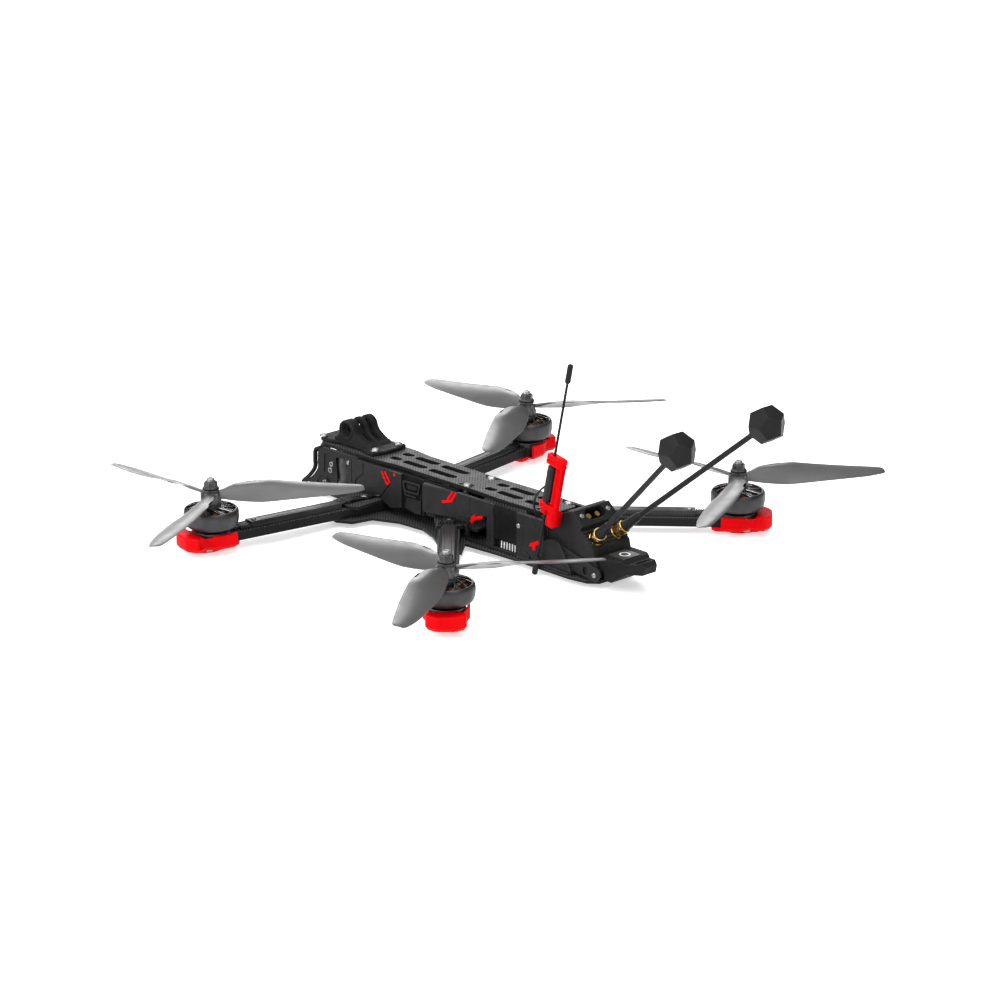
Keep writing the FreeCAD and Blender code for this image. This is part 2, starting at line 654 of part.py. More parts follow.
def antenna_nuts():
    foot, end = antenna_axis(-6.5), antenna_axis(4.0)
    barrel = rod(3.1, foot, end)
    collar = rod(4.2, antenna_axis(-0.5), end)
    body = fuse([barrel, collar]).cut(rod(2.2, antenna_axis(-3.0), antenna_axis(6.0)))
    return group([body, mirrored(body)])


def dodecahedron(radius):
    """Twelve five-sided faces about the origin, from the golden ratio."""
    phi = (1 + math.sqrt(5)) / 2
    corners = [V(x, y, z) for x in (-1, 1) for y in (-1, 1) for z in (-1, 1)]
    for a in (-1 / phi, 1 / phi):
        for b in (-phi, phi):
            corners += [V(0, a, b), V(a, b, 0), V(b, 0, a)]
    normals = []
    for a in (-1, 1):
        for b in (-phi, phi):
            normals += [V(0, b, a), V(b, a, 0), V(a, 0, b)]
    scale = radius / math.sqrt(3)
    faces = []
    for normal in normals:
        ring_of_five = sorted(corners, key=lambda c: -c.dot(normal))[:5]
        first = normal.cross(V(0.3, 0.5, 0.8)).normalize()
        second = normal.cross(first).normalize()
        ring_of_five.sort(key=lambda c: math.atan2(c.dot(second), c.dot(first)))
        points = [c * scale for c in ring_of_five]
        faces.append(Part.Face(Part.makePolygon(points + [points[0]])))
    return Part.Solid(Part.Shell(faces))


def video_antenna():
    """Boot, stem and faceted head on the left antenna's axis."""
    length = (V(*ANTENNA_HEAD) - V(*ANTENNA_FOOT)).Length
    boot = rod(2.75, antenna_axis(4.0), antenna_axis(18.0))
    core = rod(2.1, antenna_axis(-2.9), antenna_axis(5.0))
    stem = rod(1.7, antenna_axis(17.0), antenna_axis(length))
    head = dodecahedron(HEAD_R)
    head.translate(V(*ANTENNA_HEAD))
    return fuse([core, boot, stem, head])


def tail_wing():
    """Faceted tail piece that carries the positioning puck."""
    profile = [(-113.2, 12.0), (-113.2, 17.0), (-128.0, 17.0), (-132.0, 15.5), (-140.0, 17.5),
               (-143.0, 15.0), (-140.0, 10.5), (-132.0, 9.0), (-123.0, 3.0), (-117.4, 3.0), (-117.4, 8.0)]
    body = side(profile, -14.0, 14.0)
    footprint = both_sides([(-113.0, 13.5), (-128.0, 13.5), (-136.0, 9.0), (-143.0, 6.0)])
    body = body.common(plate(footprint, 0, 30))
    return body.cut(box(-128.0, -114.6, -7.2, 7.2, 12.0, 20.0))


def positioning_puck():
    return box(-127.8, -114.8, -7.0, 7.0, 12.0, 17.4)


# ---------------------------------------------------------------- receiver antenna
def rod_point(along, back, y=ROD_Y):
    """A point in the leaning antenna's frame: up the rod, and towards the tail from it."""
    lean = math.radians(ROD_LEAN)
    x, z = ROD_FOOT
    return (x - along * math.sin(lean) - back * math.cos(lean), y,
            z + along * math.cos(lean) - back * math.sin(lean))


def leaning_block(along0, along1, back0, back1, y0, y1):
    corners = [rod_point(a, b, y0) for a, b in
               ((along0, back0), (along0, back1), (along1, back1), (along1, back0))]
    return prism(corners, (0, 1, 0), y1 - y0)


def antenna_holder():
    top = leaning_block(37.0, 43.0, -4.5, 12.0, HOLDER_IN, HOLDER_OUT)
    spine = leaning_block(-2.0, 43.0, 8.0, 12.0, HOLDER_IN, HOLDER_OUT)
    low = leaning_block(8.0, 12.0, -4.5, 12.0, HOLDER_IN, HOLDER_OUT)
    post = leaning_block(-2.0, 9.0, 2.5, 12.0, 16.0, HOLDER_OUT)
    body = fuse([top, spine, low, post])
    return body.cut(rod(0.9, rod_point(-5, 0), rod_point(50, 0)))


def receiver_antenna():
    rods = rod(0.6, rod_point(ROD_LOW, 0), rod_point(ROD_TOP, 0))
    tee = rod(2.8, rod_point(12.4, 0), rod_point(36.6, 0))
    top = rod(1.75, rod_point(ROD_TOP - CAP_LEN, 0), rod_point(ROD_TOP, 0))
    low = rod(1.75, rod_point(ROD_LOW, 0), rod_point(ROD_LOW + CAP_LEN, 0))
    return fuse([rods, tee, top, low])


LEAD_ROUTE = [(-79.0, 22.6, 56.0), (-73.5, 22.6, 52.0), (-68.0, 21.8, 46.0), (-64.4, 20.0, 39.6),
              (-63.0, 17.2, 34.2), (-63.8, 15.6, 29.4), (-66.6, 14.9, 26.0), (-70.9, 14.6, 24.8)]
LEAD_R = 0.65


def tube_along(route, radius):
    """Straight runs joined by tangent arcs, as large as the two runs beside them allow."""
    points = [V(*p) for p in route]
    edges = []
    here = points[0]
    for before, corner, after in zip(points, points[1:], points[2:]):
        to_before = (before - corner).normalize()
        to_after = (after - corner).normalize()
        turn = math.pi - to_before.getAngle(to_after)
        reach = 0.45 * min((before - corner).Length, (after - corner).Length)
        bend = reach / math.tan(turn / 2)
        start = corner + to_before * reach
        end = corner + to_after * reach
        bisector = (to_before + to_after).normalize()
        middle = corner + bisector * (bend / math.cos(turn / 2) - bend)
        edges.append(Part.LineSegment(here, start).toShape())
        edges.append(Part.Arc(start, middle, end).toShape())
        print("lead bend radius %.1f" % bend)
        here = end
    edges.append(Part.LineSegment(here, points[-1]).toShape())
    path = Part.Wire(edges)
    profile = Part.Wire(Part.makeCircle(radius, points[0], points[1] - points[0]))
    return path.makePipeShell([profile], True, False)


def receiver_lead():
    tube = tube_along(LEAD_ROUTE, LEAD_R)
    return tube.cut(rod(2.8, rod_point(12.4, 0), rod_point(36.6, 0)))


# ---------------------------------------------------------------- write every piece
def write_corners():
    covers, bases, stators, coils, bearings, bolts, wires = [], [], [], [], [], [], []
    base, iron, rotor, shaft, nut, skid = (motor_base(), stator(), rotor_bell(), motor_shaft(),
                                           prop_nut(), motor_skid())
    for name, front, left, spin in CORNERS:
        x = front * MOTOR_X
        y = left * (FRONT_Y if front > 0 else REAR_Y)
        save("arm_" + name, corner_place(arm(front), front, left))
        save("motor_skid_" + name, corner_place(skid, front, left))
        save("rotor_bell_" + name, placed(rotor, x, y))
        save("motor_shaft_" + name, placed(shaft, x, y))
        save("propeller_" + name, placed(propeller(spin), x, y))
        save("prop_nut_" + name, placed(nut, x, y))
        covers.append(corner_place(arm_cover(front), front, left))
        bases.append(corner_place(base, front, left))
        stators.append(placed(iron, x, y))
        coils += [placed(part, x, y) for part in winding()]
        bearings += [placed(part, x, y) for part in bearing_pair()]
        bolts += [corner_place(part, front, left) for part in motor_bolts()]
        wires += [corner_place(part, front, left) for part in motor_wires(front)]
    save("arm_covers", group(covers))
    save("motor_bases", group(bases))
    save("stators", group(stators))
    save("windings", group(coils))
    save("bearings", group(bearings))
    save("motor_bolts", group(bolts))
    save("motor_wires", group(wires))


def write_body():
    save("bottom_plate", bottom_plate())
    save("middle_plate", middle_plate())
    save("top_plate", top_plate())
    save("standoffs", group(standoffs() + stack_posts()))
    save("frame_screws", group(frame_screws() + camera_screws()))
    cage = cage_plate()
    save("cage_plates", group([cage, mirrored(cage)]))
    save("nose_bumper", nose_bumper())
    panel = side_panel()
    save("side_panel_left", panel)
    save("side_panel_right", mirrored(panel))
    save("accent_clips", group(accent_clips()))
    save("action_camera_mount", action_camera_mount())
    save("camera_housing", camera_housing())
    save("camera_lens", camera_lens())


def write_electronics():
    save("speed_controller", speed_controller())
    save("flight_controller", flight_controller())
    save("receiver", receiver())
    save("video_unit", video_unit())
    save("link_button", link_button())


def write_tail():
    save("tail_block", tail_block())
    save("power_plug", power_plug())
    save("power_pins", power_pins())
    save("antenna_nuts", antenna_nuts())
    antenna = video_antenna()
    save("video_antenna_left", antenna)
    save("video_antenna_right", mirrored(antenna))
    save("tail_wing", tail_wing())
    save("positioning_puck", positioning_puck())
    save("antenna_holder", antenna_holder())
    save("receiver_antenna", receiver_antenna())
    save("receiver_lead", receiver_lead())


write_corners()
write_body()
write_electronics()
write_tail()
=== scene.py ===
"""Looks of the long-range racing quadcopter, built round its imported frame.

Metres, +X is the nose, +Y the drone's left, +Z up.  Shapes are written in millimetres in the same frame and
scaled once, when a piece is made.  A corner's own frame has X outward along its arm and the motor axis at 0, 0.
"""
import math

import bmesh
import bpy
from mathutils import Matrix, Vector


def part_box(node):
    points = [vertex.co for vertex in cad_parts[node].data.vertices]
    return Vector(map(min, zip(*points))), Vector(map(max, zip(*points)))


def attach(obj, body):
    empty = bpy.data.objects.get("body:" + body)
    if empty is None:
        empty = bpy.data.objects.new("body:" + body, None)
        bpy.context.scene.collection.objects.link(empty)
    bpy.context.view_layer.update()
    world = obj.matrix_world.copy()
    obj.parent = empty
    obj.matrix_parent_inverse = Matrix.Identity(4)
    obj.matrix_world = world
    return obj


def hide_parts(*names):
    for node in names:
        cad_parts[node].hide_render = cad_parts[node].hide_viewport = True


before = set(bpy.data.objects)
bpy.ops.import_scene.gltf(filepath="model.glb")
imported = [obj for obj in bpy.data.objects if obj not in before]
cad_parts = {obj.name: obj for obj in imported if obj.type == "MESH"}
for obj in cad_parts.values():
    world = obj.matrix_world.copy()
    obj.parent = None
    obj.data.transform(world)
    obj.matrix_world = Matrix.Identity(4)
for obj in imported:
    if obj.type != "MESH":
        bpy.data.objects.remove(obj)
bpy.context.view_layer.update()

MM = 0.001
SIDES = (("left", 1), ("right", -1))
# front or rear, left or right, turning direction seen from above (+1 is anticlockwise)
CORNERS = {
    "front_left": (1, 1, 1),
    "front_right": (1, -1, -1),
    "rear_left": (-1, 1, -1),
    "rear_right": (-1, -1, 1),
}
ARM_AIM = {1: (0.17, 0.985), -1: (-0.72, 0.694)}
ARM_LENGTH = {1: 126.0, -1: 165.0}
COVER_GAP = {1: 36.0, -1: 24.0}      # from an arm's inner end to its wire cover


def low(node):
    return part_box(node)[0] / MM


def high(node):
    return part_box(node)[1] / MM


def middle(node):
    return (low(node) + high(node)) / 2


# ---------------------------------------------------------------- sizes read from the frame
TOP_UNDER = low("top_plate").z
TOP_TOP = high("top_plate").z
ARM_LOW = low("arm_front_left").z
ARM_TOP = high("arm_front_left").z
COVER_TOP = high("arm_covers").z
PROP_LOW = low("propeller_front_left").z
PROP_HIGH = high("propeller_front_left").z
NUT_TOP = high("prop_nut_front_left").z
BELL_LOW = low("rotor_bell_front_left").z
BELL_TOP = high("rotor_bell_front_left").z
BELL_R = (high("rotor_bell_front_left").x - low("rotor_bell_front_left").x) / 2
SKID_LOW = low("motor_skid_front_left").z
PROP_R = 95.25           # half of the common 7.5 inch propeller
HEAD_RECESS = 0.7        # of the screw heads in the top plate
MOUNT_SEAT = TOP_TOP + 2.5      # the camera mount's base


# ---------------------------------------------------------------- shapes
def axis_place(origin, along):
    """Matrix whose local Z runs along a direction that isn't upright, with local Y as near to up as it can be."""
    z = Vector(along).normalized()
    x = Vector((0.0, 0.0, 1.0)).cross(z).normalized()
    y = z.cross(x)
    return Matrix.Translation(Vector(origin)) @ Matrix((x, y, z)).transposed().to_4x4()


MIRROR = Matrix.Scale(-1.0, 4, (0.0, 1.0, 0.0))      # the drone's left to its right


def side_place(x, y, z, sign=1):
    """A place on the drone's left (sign 1) or right side, with local Z pointing outward."""
    return Matrix.Translation((x, y * sign, z)) @ Matrix.Rotation(-sign * math.pi / 2, 4, "X")


def turned(place, step, count):
    """The place turned about its own Z by so many steps of a full turn."""
    return place @ Matrix.Rotation(2 * math.pi * step / count, 4, "Z")


class Shape:
    """A solid or a group of solids in millimetres."""

    def __init__(self, place=None):
        self.bm = bmesh.new()
        self.place = place or Matrix()

    def skin(self, rings, around=False):
        """Skin over rings of equal length; capped at both ends, or joined last to first."""
        count = len(rings[0])
        verts = [[self.bm.verts.new(self.place @ Vector(p)) for p in ring] for ring in rings]
        pairs = list(zip(verts, verts[1:])) + ([(verts[-1], verts[0])] if around else [])
        for first, second in pairs:
            for k in range(count):
                after = (k + 1) % count
                self.bm.faces.new((first[k], first[after], second[after], second[k]))
        if not around:
            self.bm.faces.new(verts[0][::-1])
            self.bm.faces.new(verts[-1])
        return self

    def prism(self, outline, z0, z1, edge=0.0):
        """A flat outline raised from z0 to z1, its two rims drawn in by edge."""
        if edge <= 0:
            return self.skin([[(x, y, z) for x, y in outline] for z in (z0, z1)])
        small = inset(outline, edge)
        levels = ((small, z0), (outline, z0 + edge), (outline, z1 - edge), (small, z1))
        return self.skin([[(x, y, z) for x, y in loop] for loop, z in levels])

    def box(self, x0, x1, y0, y1, z0, z1, edge=0.0):
        return self.prism([(x0, y0), (x1, y0), (x1, y1), (x0, y1)], z0, z1, edge)

    def side(self, outline, y0, y1, edge=0.0):
        """An outline in (x, z) pushed across the drone from y0 to y1."""
        levels = [(outline, y0), (outline, y1)]
        if edge > 0:
            small = inset(outline, edge)
            levels = [(small, y0), (outline, y0 + edge), (outline, y1 - edge), (small, y1)]
        return self.skin([[(x, y, z) for x, z in loop] for loop, y in levels])

    def lathe(self, profile, steps=64):
        """A closed outline of (radius, height) turned about the local Z axis."""
        angles = [2 * math.pi * k / steps for k in range(steps)]
        rings = [[(r * math.cos(a), r * math.sin(a), z) for r, z in profile] for a in angles]
        self.skin(rings, around=True)
        bmesh.ops.remove_doubles(self.bm, verts=self.bm.verts, dist=1e-5)
        bmesh.ops.dissolve_degenerate(self.bm, edges=self.bm.edges, dist=1e-6)
        return self

    def disc(self, x, y, radius, z0, z1, steps=32, edge=0.0):
        return self.prism(circle(x, y, radius, steps), z0, z1, edge)

    def tube(self, points, radius, sides=10, closed=False):
        """Round tube along points, with one radius or one for each point."""
        points = [Vector(p) for p in points]
        count = len(points)
        radii = radius if isinstance(radius, (list, tuple)) else [radius] * count
        rings = []
        side = None
        for k, point in enumerate(points):
            before = points[k - 1] if closed or k else point
            after = points[(k + 1) % count] if closed or k + 1 < count else point
            way = (after - before).normalized()
            if side is None:
                side = way.orthogonal().normalized()
            side = (side - way * side.dot(way)).normalized()
            other = way.cross(side)
            turns = [2 * math.pi * n / sides for n in range(sides)]
            rings.append([point + (side * math.cos(t) + other * math.sin(t)) * radii[k] for t in turns])
        return self.skin(rings, around=closed)

    def combine(self, other, operation):
        """Boolean with another shape, kept in this one."""
        tools = [linked(name, shape.mesh(name)) for name, shape in (("shape", self), ("tool", other))]
        modifier = tools[0].modifiers.new("cut", "BOOLEAN")
        modifier.operation = operation
        modifier.solver = "EXACT"
        modifier.use_self = True
        modifier.object = tools[1]
        graph = bpy.context.evaluated_depsgraph_get()
        result = bpy.data.meshes.new_from_object(tools[0].evaluated_get(graph))
        self.bm = bmesh.new()
        self.bm.from_mesh(result)
        for tool in tools:
            old = tool.data
            bpy.data.objects.remove(tool)
            bpy.data.meshes.remove(old)
        bpy.data.meshes.remove(result)
        return self

    def cut(self, other):
        return self.combine(other, "DIFFERENCE")

    def join(self, other):
        return self.combine(other, "UNION")

    def merge(self, other):
        """Adds another shape's solids as they are."""
        mesh = other.mesh("part")
        self.bm.from_mesh(mesh)
        bpy.data.meshes.remove(mesh)
        return self

    def moved(self, matrix):
        bmesh.ops.transform(self.bm, matrix=matrix, verts=self.bm.verts)
        return self

    def with_mirror(self):
        """Adds the same shape on the other side of the drone."""
        copy = bmesh.ops.duplicate(self.bm, geom=self.bm.verts[:] + self.bm.edges[:] + self.bm.faces[:])
        verts = [v for v in copy["geom"] if isinstance(v, bmesh.types.BMVert)]
        bmesh.ops.transform(self.bm, matrix=MIRROR, verts=verts)
        return self

    def mesh(self, name):
        bmesh.ops.recalc_face_normals(self.bm, faces=self.bm.faces)
        made = bpy.data.meshes.new(name)
        self.bm.to_mesh(made)
        self.bm.free()
        return made


def linked(name, data):
    """A new object of the scene that shows the data."""
    made = bpy.data.objects.new(name, data)
    bpy.context.scene.collection.objects.link(made)
    return made


def circle(x, y, radius, steps=32, start=0.0):
    turns = [start + 2 * math.pi * k / steps for k in range(steps)]
    return [(x + radius * math.cos(t), y + radius * math.sin(t)) for t in turns]


def stadium(x, y, half_length, half_width):
    """Slot outline that is long in local X."""
    steps = 8
    reach = half_length - half_width
    points = []
    for centre, start in ((reach, -math.pi / 2), (-reach, math.pi / 2)):
        for k in range(steps + 1):
            t = start + math.pi * k / steps
            points.append((x + centre + half_width * math.cos(t), y + half_width * math.sin(t)))
    return points


def both_sides(half):
    """Closed outline from its half on the +Y side."""
    return half + [(x, -y) for x, y in reversed(half) if y > 0]


def mitre(before, here, after):
    """Normal at a corner of a polyline, lengthened so that offset lines stay parallel."""
    normals = []
    for a, b in ((before, here), (here, after)):
        run = Vector(b) - Vector(a)
        if run.length > 1e-9:
            normals.append(Vector((-run.y, run.x)).normalized())
    total = sum(normals, Vector((0.0, 0.0)))
    total = total.normalized() if total.length > 1e-6 else normals[0]
    return total / max(total.dot(normals[0]), 0.35)


def inset(outline, amount):
    """The outline drawn in by amount all round."""
    area = sum(a[0] * b[1] - b[0] * a[1] for a, b in zip(outline, outline[1:] + outline[:1]))
    inward = amount if area > 0 else -amount
    count = len(outline)
    made = []
    for k, point in enumerate(outline):
        way = mitre(outline[k - 1], point, outline[(k + 1) % count])
        made.append((point[0] + way.x * inward, point[1] + way.y * inward))
    return made


def band(points, width):
    """Outline of a stroke of that width along a polyline."""
    left, right = [], []
    for k, point in enumerate(points):
        way = mitre(points[max(k - 1, 0)], point, points[min(k + 1, len(points) - 1)]) * (width / 2)
        left.append((point[0] + way.x, point[1] + way.y))
        right.append((point[0] - way.x, point[1] - way.y))
    return left + right[::-1]


def smooth(stations, count):
    """Values between the stations by Catmull-Rom, count steps to each span."""
    made = []
    last = len(stations) - 1
    for k in range(last):
        a, b, c, d = (stations[min(max(k + n, 0), last)] for n in (-1, 0, 1, 2))
        for step in range(count):
            t = step / count
            made.append([
                0.5 * (2 * q + (r - p) * t + (2 * p - 5 * q + 4 * r - s) * t * t
                       + (3 * q - p - 3 * r + s) * t ** 3)
                for p, q, r, s in zip(a, b, c, d)
            ])
    made.append(list(stations[-1]))
    return made


def corner_place(corner):
    """From a corner's own frame to the drone's."""
    front, left, _ = CORNERS[corner]
    axis = middle("motor_shaft_" + corner)
    aim = ARM_AIM[front]
    place = Matrix.Translation((axis.x, axis.y * left, 0)) @ Matrix.Rotation(math.atan2(aim[1], aim[0]), 4, "Z")
    return place if left > 0 else MIRROR @ place


def axis_of(corner):
    axis = middle("motor_shaft_" + corner)
    return Matrix.Translation((axis.x, axis.y, 0))


# ---------------------------------------------------------------- pieces
def round_edges(piece, width, segments, angle):
    """Bevel on the edges that turn by more than the angle, in degrees."""
    modifier = piece.modifiers.new("rounded_edges", "BEVEL")
    modifier.width = width * MM
    modifier.segments = segments
    modifier.limit_method = "ANGLE"
    modifier.angle_limit = math.radians(angle)
    return modifier


def make(name, shape, slot, *materials, body="frame", bevel=0.25, segments=2, rim=-1, stands_for=()):
    """One finished piece.  rim is the index of the material on its bevelled edges."""
    shape.moved(Matrix.Scale(MM, 4))
    piece = linked(name, shape.mesh(name))
    for material in materials:
        piece.data.materials.append(material)
    piece.data.shade_smooth()
    if bevel > 0:
        modifier = round_edges(piece, bevel, segments, 28)
        modifier.miter_outer = "MITER_ARC"
        modifier.material = rim
    if bevel > 0 or rim < 0:
        piece.modifiers.new("even_shading", "WEIGHTED_NORMAL").keep_sharp = True
    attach(piece, body)
    if stands_for:
        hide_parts(*stands_for)


def make_rotor(name, corner, shape, slot, *materials, stands_for="", **options):
    """One finished piece of a corner's rotor."""
    make(name + "_" + corner, shape, slot, *materials, body="rotor_" + corner,
         stands_for=[stands_for + "_" + corner] if stands_for else (), **options)


def keep(node, material, bevel=0.15):
    """A CAD node that stays, with rounded edges and a better material."""
    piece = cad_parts[node]
    piece.data.materials.clear()
    piece.data.materials.append(material)
    piece.modifiers.new("weld", "WELD").merge_threshold = 0.002 * MM
    round_edges(piece, bevel, 2, 32).harden_normals = True


# ---------------------------------------------------------------- materials
class Look:
    """A node material on a Principled shader, with the object's own coordinates in metres."""

    def __init__(self, name, **settings):
        self.material = bpy.data.materials.new(name)
        self.material.use_nodes = True
        self.tree = self.material.node_tree
        self.shader = self.tree.nodes["Principled BSDF"]
        self.place = self.add("ShaderNodeTexCoord").outputs["Object"]
        for socket, value in settings.items():
            self.shader.inputs[socket.replace("_", " ")].default_value = value

    def add(self, kind, inputs=(), **settings):
        node = self.tree.nodes.new(kind)
        for key, value in settings.items():
            setattr(node, key, value)
        for key, value in dict(inputs).items():
            if isinstance(value, bpy.types.NodeSocket):
                self.tree.links.new(value, node.inputs[key])
            else:
                node.inputs[key].default_value = value
        return node

    def math(self, operation, a, b=0.0):
        return self.add("ShaderNodeMath", {0: a, 1: b}, operation=operation).outputs[0]

    def noise(self, size, detail=3.0):
        """Noise whose cells are about size millimetres."""
        return self.add("ShaderNodeTexNoise", {"Vector": self.place, "Scale": 1.0 / (size * MM), "Detail": detail}
                        ).outputs[0]

    def spread(self, value, low_out, high_out, low_in=0.3, high_in=0.7):
        return self.add("ShaderNodeMapRange", {0: value, 1: low_in, 2: high_in, 3: low_out, 4: high_out}
                        ).outputs[0]

    def mix(self, share, first, second):
        node = self.add("ShaderNodeMix", data_type="RGBA")
        for key, value in ((0, share), (6, first), (7, second)):
            if isinstance(value, bpy.types.NodeSocket):
                self.tree.links.new(value, node.inputs[key])
            else:
                node.inputs[key].default_value = value if key == 0 else (*value, 1.0)
        return node.outputs[2]

    def worn_and_highlit_edges(self, reach=0.5):
        """1 on edges, where the colour is lightened partly as wear and partly as a painted highlight, 0 on flats,
        broken up by noise.
        """
        bevel = self.add("ShaderNodeBevel", {"Radius": reach * MM}, samples=4).outputs[0]
        flat = self.add("ShaderNodeNewGeometry").outputs["Normal"]
        meet = self.add("ShaderNodeVectorMath", {0: bevel, 1: flat}, operation="DOT_PRODUCT").outputs["Value"]
        mask = self.spread(meet, 1.0, 0.0, 0.86, 0.99)
        return self.math("MULTIPLY", mask, self.spread(self.noise(2.5), 0.45, 1.0))

    def bump(self, height, depth, strength=1.0):
        node = self.add("ShaderNodeBump", {"Height": height, "Strength": strength, "Distance": depth * MM})
        self.tree.links.new(node.outputs[0], self.shader.inputs["Normal"])

    def feed(self, socket, value):
        self.tree.links.new(value, self.shader.inputs[socket])


def moulded(name, dark, light, rough, grain=0.35, depth=0.02, edge=None, patch=9.0, **settings):
    """Moulded or cast surface: patchy tone, fine grain, uneven gloss, edges lightened partly as wear and partly as a
    painted highlight.
    """
    look = Look(name, **settings)
    tone = look.mix(look.spread(look.noise(patch), 0.0, 1.0), dark, light)
    # the edge colour is partly wear and partly a painted highlight
    if edge:
        tone = look.mix(look.worn_and_highlit_edges(), tone, edge)
    look.feed("Base Color", tone)
    look.feed("Roughness", look.spread(look.noise(patch * 0.4), *rough))
    look.bump(look.noise(grain, 2.0), depth)
    return look.material


def woven_carbon():
    """Two-by-two twill on the flats, its tows lit by a painted sheen, stacked plies on the cut edges."""
    look = Look("carbon_twill", Specular_IOR_Level=0.05)
    tow = 0.6 * MM
    x, y, z = look.add("ShaderNodeSeparateXYZ", {0: look.place}).outputs
    u = look.math("DIVIDE", x, tow)
    v = look.math("DIVIDE", y, tow)
    steps = look.math("ADD", look.math("FLOOR", u), look.math("FLOOR", v))
    over = look.math("LESS_THAN", look.math("FLOORED_MODULO", steps, 4.0), 2.0)
    swell_u = look.math("SINE", look.math("MULTIPLY", look.math("FRACT", u), math.pi))
    swell_v = look.math("SINE", look.math("MULTIPLY", look.math("FRACT", v), math.pi))
    height = look.math("ADD", look.math("MULTIPLY", swell_u, over),
                       look.math("MULTIPLY", swell_v, look.math("SUBTRACT", 1.0, over)))
    # Painted sheen: each tow is lighter along its crown and the warp tows lighter than the weft, in place of the
    # fibres' directional highlight; the twill pattern itself is real.
    warp_sheen = look.mix(look.spread(height, 0.0, 1.0, 0.1, 0.9), (0.006, 0.006, 0.006), (0.078, 0.078, 0.08))
    weft_sheen = look.mix(look.spread(height, 0.0, 1.0, 0.1, 0.9), (0.005, 0.005, 0.005), (0.024, 0.024, 0.025))
    twill_with_painted_sheen = look.mix(over, weft_sheen, warp_sheen)
    layer = look.math("SINE", look.math("ADD", look.math("MULTIPLY", z, 2 * math.pi / (0.5 * MM)),
                                        look.math("MULTIPLY", look.noise(3.0), 3.0)))
    plies = look.mix(look.spread(layer, 0.0, 1.0, -1.0, 1.0), (0.006, 0.006, 0.006), (0.02, 0.02, 0.021))
    normal = look.add("ShaderNodeSeparateXYZ", {0: look.add("ShaderNodeNewGeometry").outputs["True Normal"]})
    flat = look.math("GREATER_THAN", look.math("ABSOLUTE", normal.outputs[2]), 0.35)
    tone = look.mix(flat, plies, twill_with_painted_sheen)
    # lighter edges: partly wear, partly a painted highlight
    look.feed("Base Color", look.mix(look.worn_and_highlit_edges(0.35), tone, (0.08, 0.08, 0.082)))
    look.feed("Roughness", look.spread(look.noise(6.0), 0.36, 0.5))
    look.bump(look.math("MULTIPLY", height, flat), 0.04, 0.6)
    return look.material


def metal(name, dark, light, rough):
    """Metal with faint tool marks."""
    look = Look(name, Metallic=1.0)
    marks = look.noise(0.5)
    look.feed("Base Color", look.mix(look.spread(look.noise(5.0), 0.0, 1.0), dark, light))
    look.feed("Roughness", look.spread(marks, *rough))
    look.bump(marks, 0.006)
    return look.material


def ribbed(name, dark, light, rough, pitch, depth, **settings):
    """Surface of thin layers, one above the other, at a pitch in millimetres."""
    look = Look(name, **settings)
    level = look.add("ShaderNodeSeparateXYZ", {0: look.place}).outputs[2]
    wave = look.math("SINE", look.math("MULTIPLY", level, 2 * math.pi / (pitch * MM)))
    share = look.spread(wave, 0.0, 1.0, -1.0, 1.0)
    tone = look.mix(share, dark, light)
    look.feed("Base Color", look.mix(look.spread(look.noise(4.0), 0.0, 0.5), tone, light))
    look.feed("Roughness", look.spread(look.noise(2.0), *rough))
    look.bump(share, depth)
    return look.material


def circuit(name):
    """Solder mask with fine tracks and scattered pads."""
    look = Look(name, Specular_IOR_Level=0.5, Coat_Weight=0.3)
    bricks = look.add("ShaderNodeTexBrick", {"Vector": look.place, "Scale": 1 / (1.6 * MM), "Mortar Size": 0.08,
                                             "Color1": (0.008, 0.012, 0.01, 1.0), "Color2": (0.012, 0.016, 0.013, 1.0),
                                             "Mortar": (0.035, 0.05, 0.04, 1.0)}).outputs[0]
    pads = look.spread(look.add("ShaderNodeTexVoronoi", {"Vector": look.place, "Scale": 1 / (2.2 * MM)}).outputs[0],
                       1.0, 0.0, 0.14, 0.18)
    look.feed("Base Color", look.mix(pads, bricks, (0.55, 0.4, 0.16)))
    look.feed("Roughness", look.spread(look.noise(1.5), 0.3, 0.5))
    look.bump(pads, 0.03)
    return look.material


CARBON = woven_carbon()
PANEL = moulded("panel_moulding", (0.011, 0.011, 0.0115), (0.016, 0.016, 0.0165), (0.42, 0.58),
                edge=(0.05, 0.05, 0.052), Specular_IOR_Level=0.08)
# A darker copy of the panel moulding. On the sunk latch field, the vent field and the gap strip its darkness is painted
# shade. On the nut washers, the lens barrel and the power plug it is their own dark colour.
DARK_PANEL = moulded("dark_moulding_and_painted_shade", (0.004, 0.004, 0.0042), (0.007, 0.007, 0.0072), (0.4, 0.55),
                     Specular_IOR_Level=0.06)
SOFT = moulded("soft_moulding", (0.01, 0.01, 0.0105), (0.016, 0.016, 0.0165), (0.48, 0.66), grain=0.5,
               edge=(0.05, 0.05, 0.052), Specular_IOR_Level=0.04)
RED = moulded("red_soft_plastic", (0.54, 0.0, 0.0015), (0.66, 0.0, 0.003), (0.4, 0.56), grain=0.6,
              edge=(0.86, 0.02, 0.025), Specular_IOR_Level=0.04)
ALLOY = moulded("dark_anodised_alloy", (0.03, 0.03, 0.032), (0.05, 0.05, 0.052), (0.36, 0.5), grain=0.2,
                depth=0.006, edge=(0.28, 0.28, 0.29), Metallic=0.75)
RIM = metal("machined_rim", (0.62, 0.62, 0.64), (0.78, 0.78, 0.8), (0.16, 0.3))
STEEL = metal("bright_steel", (0.2, 0.2, 0.205), (0.36, 0.36, 0.365), (0.26, 0.42))
GOLD = metal("gold_plate", (0.42, 0.27, 0.08), (0.62, 0.43, 0.16), (0.18, 0.34))
